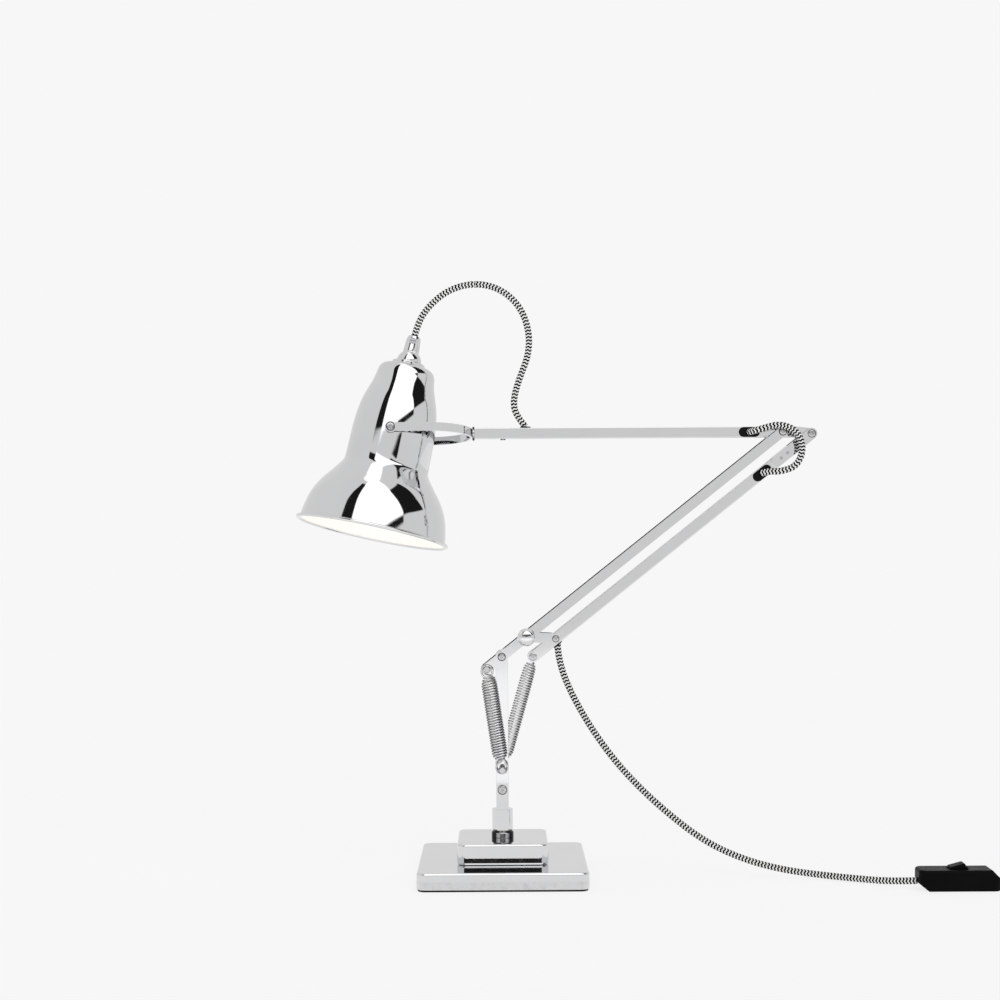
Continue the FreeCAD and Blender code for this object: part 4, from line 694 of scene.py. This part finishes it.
def ribbed_outline(length):
    """Outline of a strain relief whose ribs grow towards the plug, as (radius, height) in metres."""
    inner = sizes().flex_diameter / 2
    pitch = length / RELIEF_RIBS
    outline = [(inner, 0)]
    for rib in range(RELIEF_RIBS):
        outer = inner + (RELIEF_WALL + RELIEF_GROWTH * rib / (RELIEF_RIBS - 1)) * MM
        groove = outer - RELIEF_GROOVE * MM
        far = pitch * (rib + RELIEF_RIB_SHARE)
        outline += [(outer, pitch * rib), (outer, far), (groove, far), (groove, pitch * (rib + 1))]
    return outline + [(inner, length), outline[0]]


def make_plug():
    """Round moulded plug with its ribbed, tapered strain relief."""
    body = finished_copy("plug_body", 1.2 * MM)
    pins = finished_copy("plug_pins", 0.2 * MM)
    low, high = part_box("plug_strain_relief")
    start = Vector(((low[0] + high[0]) / 2, low[1], (low[2] + high[2]) / 2))
    along_y = Matrix.Translation(start) @ Matrix.Rotation(math.radians(-90), 4, "X")
    relief = spun("strain_relief", ribbed_outline(high[1] - low[1]), along_y, "plug_plastic", steps=40)
    soften_edges(relief, 0.3 * MM)
    place(relief, "base", "plug_plastic", "plug_strain_relief")
    return [body, pins, relief]


def make_cords():
    near, near_line = make_free_flex()
    far, far_line = make_coiled_flex()
    as_cord(near, near_line, "fitting", "medium", "loose", with_pieces=make_switch())
    as_cord(far, far_line, "plug", "medium", "coiled", with_pieces=make_plug())


def make_overhead_flex():
    """The loop over the head, from the cord grip to the upper arm, cut in two at its top."""
    tip = SHADE_FRAME @ Vector((0, 0, NECK_TOP + GRIP_MOUTH * MM)) / MM
    neck = ARM_FRONT / MM + Vector(ARM_FRONT_GROMMET)
    line = read_line("overhead_flex", metres(RISE_ROUTE, tip) + metres(FALL_ROUTE, neck))
    top = max(range(len(line)), key=lambda i: line[i].z)
    held_flex("overhead_flex_rise", line[:top + 1], ("overhead_flex",))
    held_flex("overhead_flex_fall", line[top:])


def make_elbow_flex():
    """The loop past the elbow, from the upper arm into the control rod."""
    near_arm = ELBOW / MM + Vector(ELBOW_GROMMET)
    near_rod = TAIL_PIVOT / MM - ARM_DIRECTION * ROD_GROMMET_REACH + Vector(ROD_GROMMET_SIDE)
    line = read_line("elbow_flex", metres(ELBOW_OUT, near_arm) + metres(ELBOW_HOME, near_rod))
    held_flex("elbow_flex_loop", line, ("elbow_flex",))


# Head ----------------------------------------------------------------------------------------

BEAD_OUTSET = 0.75  # how far the bead's centre stands outside the wall, in bead radii
HEAD_METAL = {  # width of the softened edges, in millimetres
    "holder_cap": 0.5, "cord_grip": 0.4, "fork": 1.4, "tilt_nuts": 0.2, "shade_screws": 0.35,
    "lampholder_body": 0.8, "bulb_cap": 0.3,
}


def make_shade():
    """Bell shade with a rolled rim: chrome outside, enamel inside."""
    outline = hung_profile(SHADE_OUTLINE)
    shade = spun("shade", outline, SHADE_FRAME, "chrome", "enamel", steps=128)
    wall = shade.modifiers.new("wall", "SOLIDIFY")
    wall.thickness = sizes().shade_wall
    wall.offset = -1
    wall.material_offset = 1
    wall.material_offset_rim = 0
    wall.use_quality_normals = True
    place(shade, "shade", "chrome", "shade_shell")
    rim_radius, rim_height = outline[-1]
    bead = sizes().rim_bead
    ring = [(rim_radius + bead * (BEAD_OUTSET + math.cos(math.radians(angle))),
             rim_height + bead * math.sin(math.radians(angle))) for angle in range(0, 361, 24)]
    rim = spun("shade_rim", ring, SHADE_FRAME, "chrome", steps=128)
    place(rim, "shade", "chrome")


def make_bulb():
    """Opal bulb: a neck that swells into a globe."""
    outline = hung_profile(BULB_OUTLINE)
    bulb = spun("bulb", outline, SHADE_FRAME, "bulb_glass", steps=64)
    place(bulb, "shade", "bulb_glass", "bulb_glass")


def make_head_metal():
    for node, width in HEAD_METAL.items():
        finished_copy(node, width * MM)


# Springs -------------------------------------------------------------------------------------

PIN_RADIUS = 2.5 * MM
SPRING_SIDE = 18.6 * MM
HOOK_SHARE = 0.72  # radius of a hook, as a share of the coil's
HOOK_ANGLES = range(35, 361, 15)
TURN_STEPS = 14
SWELL_LENGTH = 7.0 * MM  # the end turns grow from the mouth to the full coil over this
MOUTH_SHARE = 0.55
NARROW_FROM = 0.82  # where along the coil its narrower top starts


def spring_line(foot_pin, top_pin, radius, start, length, top_hook=HOOK_SHARE, top_share=1.0):
    """Centre line of a close-wound spring with a round hook at each end."""
    wire = sizes().spring_wire
    axis = (top_pin - foot_pin).normalized()
    across = Vector((axis.z, 0, -axis.x))
    depth = Vector((0, 1, 0))
    steps = round(length / sizes().spring_pitch) * TURN_STEPS

    def hook_arc(pin, up, hook):
        centre = pin + up * (hook - wire / 2 - PIN_RADIUS)
        return [centre + (up * math.cos(math.radians(angle)) + across * math.sin(math.radians(angle))) * hook
                for angle in HOOK_ANGLES]

    coil = []
    for k in range(steps + 1):
        share = k / steps
        angle = 2 * math.pi * k / TURN_STEPS
        swell = min(min(share, 1 - share) * length / SWELL_LENGTH, 1.0)
        narrowing = max(0.0, (share - NARROW_FROM) / (1 - NARROW_FROM))
        full = (radius - wire / 2) * (1 - (1 - top_share) * narrowing)
        ring = full * (MOUTH_SHARE + (1 - MOUTH_SHARE) * swell * (2 - swell))
        coil.append(foot_pin + axis * (start + length * share)
                    + across * (ring * math.cos(angle)) + depth * (ring * math.sin(angle)))
    foot = hook_arc(foot_pin, axis, radius * HOOK_SHARE)
    top = hook_arc(top_pin, -axis, radius * top_hook)
    return foot, coil, top[::-1]


def wire_piece(name, line):
    """Round wire along a line, as a mesh."""
    guide = guide_curve(name, line, "POLY")
    guide.data.bevel_depth = sizes().spring_wire / 2
    guide.data.bevel_resolution = 2
    guide.data.use_fill_caps = True
    mesh = mesh_of_guide(guide)
    bm = bmesh.new()
    bm.from_mesh(mesh)
    bpy.data.meshes.remove(mesh)
    bmesh.ops.remove_doubles(bm, verts=bm.verts, dist=TINY)
    return mesh_piece(name, bm, "spring_steel")


def held_spring(name, line, coil, lower, upper, *nodes):
    """A spring of wire along its line, with its coil between two bodies, fixed where it lies."""
    spring = wire_piece(name, line)
    tuple(coil[0])
    tuple(coil[-1])
    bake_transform(spring)
    if nodes:
        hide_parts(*nodes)


def make_springs():
    """Two outer springs from the lower arm's tail, and the centre one from the control rod."""
    for name, side, nodes in (("near", -1, ("outer_springs", "outer_spring_hooks")), ("far", 1, ())):
        shift = Vector((0, side * SPRING_SIDE, 0))
        foot, coil, top = spring_line(SPRING_ANCHOR + shift, SPRING_PIN + shift,
                                      8.0 * MM, 11.0 * MM, 80.0 * MM)
        held_spring(f"outer_spring_{name}", foot + coil + top, coil, "outer_coils", "outer_hooks", *nodes)
    foot, coil, top = spring_line(SPRING_ANCHOR, ROD_END, 6.9 * MM, 12.0 * MM, 96.5 * MM, 0.50, 0.90)
    middle = len(coil) // 2
    below = coil[:middle + 1]
    above = coil[middle:]
    held_spring("centre_spring_lower", foot + below, below, "centre_foot", "centre_coil",
                "centre_spring_foot", "centre_spring_coil")
    held_spring("centre_spring_upper", above + top, above, "centre_coil", "centre_top", "centre_spring_top")


# Arms, post and base -------------------------------------------------------------------------

METALWORK = {  # width of the softened edges, in millimetres
    "spindle_socket": 0.3, "swivel_head": 0.5, "post_plates": 0.3, "head_bolt": 0.3,
    "spring_anchor_pin": 0.3, "lower_bars": 0.1, "lower_arm_bolts": 0.3, "lower_arm_nuts": 0.3,
    "outer_spring_pins": 0.3, "cross_links": 0.3, "link_screws": 0.2, "control_rod_tube": 0.3,
    "rod_cheeks": 0.3, "rod_fasteners": 0.2, "upper_arm_tube": 0.3, "upper_arm_tail": 0.3,
    "elbow_bushes": 0.2, "upper_arm_fasteners": 0.3, "rod_grommets": 0.5, "arm_grommets": 0.5,
    "base_pad": 0.4,
}
HIDDEN_PARTS = (
    "base_weight", "base_fasteners", "swivel_liner", "spindle", "main_pivot_spacers", "arm_end_plug",
    "flex_in_rod", "flex_in_upper_arm", "holder_stem", "switch_fasteners",
)


def rounded_block(width, bottom, top, levels):
    """Square block with rounded plan corners, and rounded edges at the given levels."""
    bm = bmesh.new()
    size = Matrix.Diagonal((width, width, top - bottom, 1))
    centre = Matrix.Translation((0, 0, (top + bottom) / 2))
    bmesh.ops.create_cube(bm, size=1.0, matrix=centre @ size)
    upright = [edge for edge in bm.edges if abs(edge.verts[0].co.z - edge.verts[1].co.z) > BASE_EDGE]
    bmesh.ops.bevel(bm, geom=upright, offset=BASE_CORNER, offset_type="OFFSET", segments=10, profile=0.5,
                    affect="EDGES", material=-1)
    outline = [edge for edge in bm.edges
               if any(all(abs(end.co.z - level) < TINY for end in edge.verts) for level in levels)]
    bmesh.ops.bevel(bm, geom=outline, offset=BASE_EDGE, offset_type="OFFSET", segments=5, profile=0.5,
                    affect="EDGES", material=-1)
    return bm


def make_base_cover():
    """Stepped chrome cover: a tray and a smaller block whose foot curves in above it."""
    low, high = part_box("base_cover")
    tray = rounded_block(high[0] - low[0], low[2], TRAY_TOP, (TRAY_TOP,))
    step = rounded_block(STEP_WIDTH, TRAY_TOP, high[2], (TRAY_TOP, high[2]))
    for name, bm, nodes in (("base_tray", tray, ("base_cover",)), ("base_step", step, ())):
        block = mesh_piece(name, bm, "chrome")
        even_shading(block)
        place(block, "base", "chrome", *nodes)


def make_metalwork():
    make_base_cover()
    for node, width in METALWORK.items():
        finished_copy(node, width * MM)


def make_knob():
    """Turned friction knob with a domed face and a waisted grip."""
    out = Matrix.Rotation(math.radians(90), 4, "X")
    low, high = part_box("friction_knob")
    base = Matrix.Translation((KNOB_PIVOT.x, high[1], KNOB_PIVOT.z)) @ out
    length = (high[1] - low[1]) / MM
    outline = [(3.1, 0), (7.4, 0), (8.9, 0.5), (8.9, 3.4), (7.9, 4.4), (7.3, length * 0.5),
               (7.9, length * 0.68), (7.4, length * 0.86), (4.6, length * 0.98), (0.0, length)]
    knob = spun("friction_knob_turned", smooth_profile(outline, 6), base, "chrome", steps=64)
    place(knob, "knob", "chrome", "friction_knob")


def dress_hidden_parts():
    """Finishes on the inner CAD parts, which keep their own shape."""
    for node in HIDDEN_PARTS:
        part = frame["nodes"][node]
        part.data.materials.clear()
        part.data.materials.append(finish(slot_of_node(node)))


# Stage ---------------------------------------------------------------------------------------

CAMERA_PLACE = (-0.001, -1.736, 0.345)
CAMERA_ROLL = math.radians(-0.315)
CAMERA_LENS = 62.5
CAMERA_SHIFT = 0.03
FLOOR_HALF = 6.0
FLOOR_BACK = 5.35  # the floor reaches far behind the lamp and a little in front of it
FLOOR_GREY = 0.14
FLOOR_GLOW = 0.808

# Brightness of the room, and its panels as least and most azimuth and elevation in degrees
BACKGROUND = 0.93
SURROUND = 0.80
PANEL_SOFTNESS = 0.8
BRIGHT_PANELS = [(-28, 57, 22, 88), (-181, 181, 81, 91)]  # a soft box in front, and the ceiling
PANEL_GAIN = 0.75
DARK_FLAGS = [(-48, -28, 24, 76), (57, 100, 22, 62), (15, 57, 17.5, 22), (-30, 30, 6, 13)]
FLAG_DEPTH = 0.985
BRIGHT_FOREGROUND = (-60, 60, -50, -4.2)
FOREGROUND_GAIN = 0.45


def make_camera():
    data = bpy.data.cameras.new("camera")
    data.sensor_width = 36.0
    data.lens = CAMERA_LENS
    data.shift_y = CAMERA_SHIFT
    data.clip_start = 0.02
    data.clip_end = 100.0
    camera = bpy.data.objects.new("camera", data)
    bpy.context.scene.collection.objects.link(camera)
    camera.matrix_world = (Matrix.Translation(CAMERA_PLACE) @ Matrix.Rotation(math.radians(90), 4, "X")
                           @ Matrix.Rotation(CAMERA_ROLL, 4, "Z"))
    bpy.context.scene.camera = camera


def make_floor():
    bm = bmesh.new()
    bmesh.ops.create_grid(bm, x_segments=1, y_segments=1, size=FLOOR_HALF)
    bmesh.ops.translate(bm, vec=(0, FLOOR_BACK, 0), verts=bm.verts)
    mesh = bpy.data.meshes.new("floor")
    bm.to_mesh(mesh)
    bm.free()
    floor = new_object("floor", mesh)
    surface = Surface("pale_floor")
    surface.shader.inputs["Base Color"].default_value = (FLOOR_GREY, FLOOR_GREY, FLOOR_GREY, 1)
    surface.shader.inputs["Roughness"].default_value = 1.0
    surface.gloss(0.0)
    surface.glow((1, 1, 1), FLOOR_GLOW)
    mesh.materials.append(surface.material)


def make_studio_light():
    """A white room with a tall soft box in front, dark flags beside it and a bright foreground."""
    world = bpy.data.worlds.new("studio")
    bpy.context.scene.world = world
    world.use_nodes = True
    world.node_tree.nodes.clear()
    room = Nodes(world.node_tree)
    maths = room.maths
    place_in_room = room.add("ShaderNodeTexCoord").outputs["Generated"]
    split = room.add("ShaderNodeSeparateXYZ", {"Vector": place_in_room}).outputs
    front = maths("MULTIPLY", split["Y"], -1.0)
    azimuth = maths("MULTIPLY", maths("ARCTAN2", split["X"], front), 180 / math.pi)
    elevation = maths("MULTIPLY", maths("ARCSINE", split["Z"]), 180 / math.pi)

    def between(value, low, high):
        """One inside a range and nothing outside, with soft ends."""
        rise = room.spread(value, 0.0, 1.0, low - PANEL_SOFTNESS, low + PANEL_SOFTNESS)
        fall = room.spread(value, 1.0, 0.0, high - PANEL_SOFTNESS, high + PANEL_SOFTNESS)
        return maths("MULTIPLY", rise, fall)

    def panel(left, right, bottom, top):
        return maths("MULTIPLY", between(azimuth, left, right), between(elevation, bottom, top))

    boxes = maths("MAXIMUM", *[panel(*box) for box in BRIGHT_PANELS])
    light = maths("ADD", SURROUND, maths("MULTIPLY", boxes, PANEL_GAIN))
    for flag in DARK_FLAGS:
        shadow = maths("MULTIPLY", panel(*flag), FLAG_DEPTH)
        light = maths("MULTIPLY", light, maths("SUBTRACT", 1.0, shadow))
    light = maths("ADD", light, maths("MULTIPLY", panel(*BRIGHT_FOREGROUND), FOREGROUND_GAIN))

    seen = room.add("ShaderNodeLightPath").outputs["Is Camera Ray"]
    backdrop = maths("MULTIPLY", seen, BACKGROUND)
    reflected = maths("MULTIPLY", maths("SUBTRACT", 1.0, seen), light)
    white = room.add("ShaderNodeBackground",
                     {"Strength": maths("ADD", backdrop, reflected), "Color": (1, 1, 1, 1)})
    room.add("ShaderNodeOutputWorld", {"Surface": white.outputs[0]})


def make_stage():
    bpy.context.scene.view_settings.view_transform = "Standard"
    bpy.context.scene.view_settings.look = "None"
    make_camera()
    make_floor()
    make_studio_light()


# Operators -----------------------------------------------------------------------------------

class LAMP_OT_stage(bpy.types.Operator):
    """Set up the camera, the pale floor and the studio light"""
    bl_idname = "lamp.stage"
    bl_label = "Stage"

    def execute(self, context):
        make_stage()
        return {"FINISHED"}


class LAMP_OT_cords(bpy.types.Operator):
    """Lay the free flex with its switch, coil and plug"""
    bl_idname = "lamp.cords"
    bl_label = "Flex, Switch and Plug"

    def execute(self, context):
        make_cords()
        return {"FINISHED"}


class LAMP_OT_overhead_flex(bpy.types.Operator):
    """Loop the flex over the head"""
    bl_idname = "lamp.overhead_flex"
    bl_label = "Overhead Flex"

    def execute(self, context):
        make_overhead_flex()
        return {"FINISHED"}


class LAMP_OT_elbow_flex(bpy.types.Operator):
    """Loop the flex past the elbow"""
    bl_idname = "lamp.elbow_flex"
    bl_label = "Elbow Flex"

    def execute(self, context):
        make_elbow_flex()
        return {"FINISHED"}


class LAMP_OT_shade(bpy.types.Operator):
    """Spin the bell shade with its rolled rim and enamel lining"""
    bl_idname = "lamp.shade"
    bl_label = "Shade"

    def execute(self, context):
        make_shade()
        return {"FINISHED"}


class LAMP_OT_bulb(bpy.types.Operator):
    """Spin the opal bulb"""
    bl_idname = "lamp.bulb"
    bl_label = "Bulb"

    def execute(self, context):
        make_bulb()
        return {"FINISHED"}


class LAMP_OT_head_metal(bpy.types.Operator):
    """Finish the fork, the lampholder and the screws of the head"""
    bl_idname = "lamp.head_metal"
    bl_label = "Fork and Lampholder"

    def execute(self, context):
        make_head_metal()
        return {"FINISHED"}


class LAMP_OT_springs(bpy.types.Operator):
    """Wind the two outer springs and the centre spring"""
    bl_idname = "lamp.springs"
    bl_label = "Springs"

    def execute(self, context):
        make_springs()
        return {"FINISHED"}


class LAMP_OT_knob(bpy.types.Operator):
    """Turn the friction knob"""
    bl_idname = "lamp.knob"
    bl_label = "Friction Knob"

    def execute(self, context):
        make_knob()
        return {"FINISHED"}


class LAMP_OT_metalwork(bpy.types.Operator):
    """Finish the base, post, arms, links, bolts and grommets"""
    bl_idname = "lamp.metalwork"
    bl_label = "Base, Post and Arms"

    def execute(self, context):
        make_metalwork()
        return {"FINISHED"}


class LAMP_OT_hidden_parts(bpy.types.Operator):
    """Give the inner parts their finishes"""
    bl_idname = "lamp.hidden_parts"
    bl_label = "Inner Parts"

    def execute(self, context):
        dress_hidden_parts()
        return {"FINISHED"}


OPERATORS = (
    LAMP_OT_stage, LAMP_OT_cords, LAMP_OT_overhead_flex, LAMP_OT_elbow_flex, LAMP_OT_shade, LAMP_OT_bulb,
    LAMP_OT_head_metal, LAMP_OT_springs, LAMP_OT_knob, LAMP_OT_metalwork, LAMP_OT_hidden_parts,
)


class LAMP_PT_panel(bpy.types.Panel):
    """Sizes, colours and pieces of the lamp"""
    bl_label = "Desk Lamp"
    bl_idname = "LAMP_PT_panel"
    bl_space_type = "VIEW_3D"
    bl_region_type = "UI"
    bl_category = "Lamp"

    def draw(self, context):
        for group in (context.scene.lamp_sizes, context.scene.lamp_colours):
            box = self.layout.box()
            for name in group.bl_rna.properties.keys():
                if name not in ("rna_type", "name"):
                    box.prop(group, name)
        for operator in OPERATORS:
            self.layout.operator(operator.bl_idname)


CLASSES = (LampSizes, LampColours, *OPERATORS, LAMP_PT_panel)


def register():
    for cls in CLASSES:
        bpy.utils.register_class(cls)
    bpy.types.Scene.lamp_sizes = bpy.props.PointerProperty(type=LampSizes)
    bpy.types.Scene.lamp_colours = bpy.props.PointerProperty(type=LampColours)


def unregister():
    del bpy.types.Scene.lamp_colours
    del bpy.types.Scene.lamp_sizes
    for cls in reversed(CLASSES):
        bpy.utils.unregister_class(cls)


def main():
    register()
    for operator in OPERATORS:
        group, name = operator.bl_idname.split(".")
        getattr(getattr(bpy.ops, group), name)()
    bpy.context.view_layer.update()


if __name__ == "__main__":
    main()
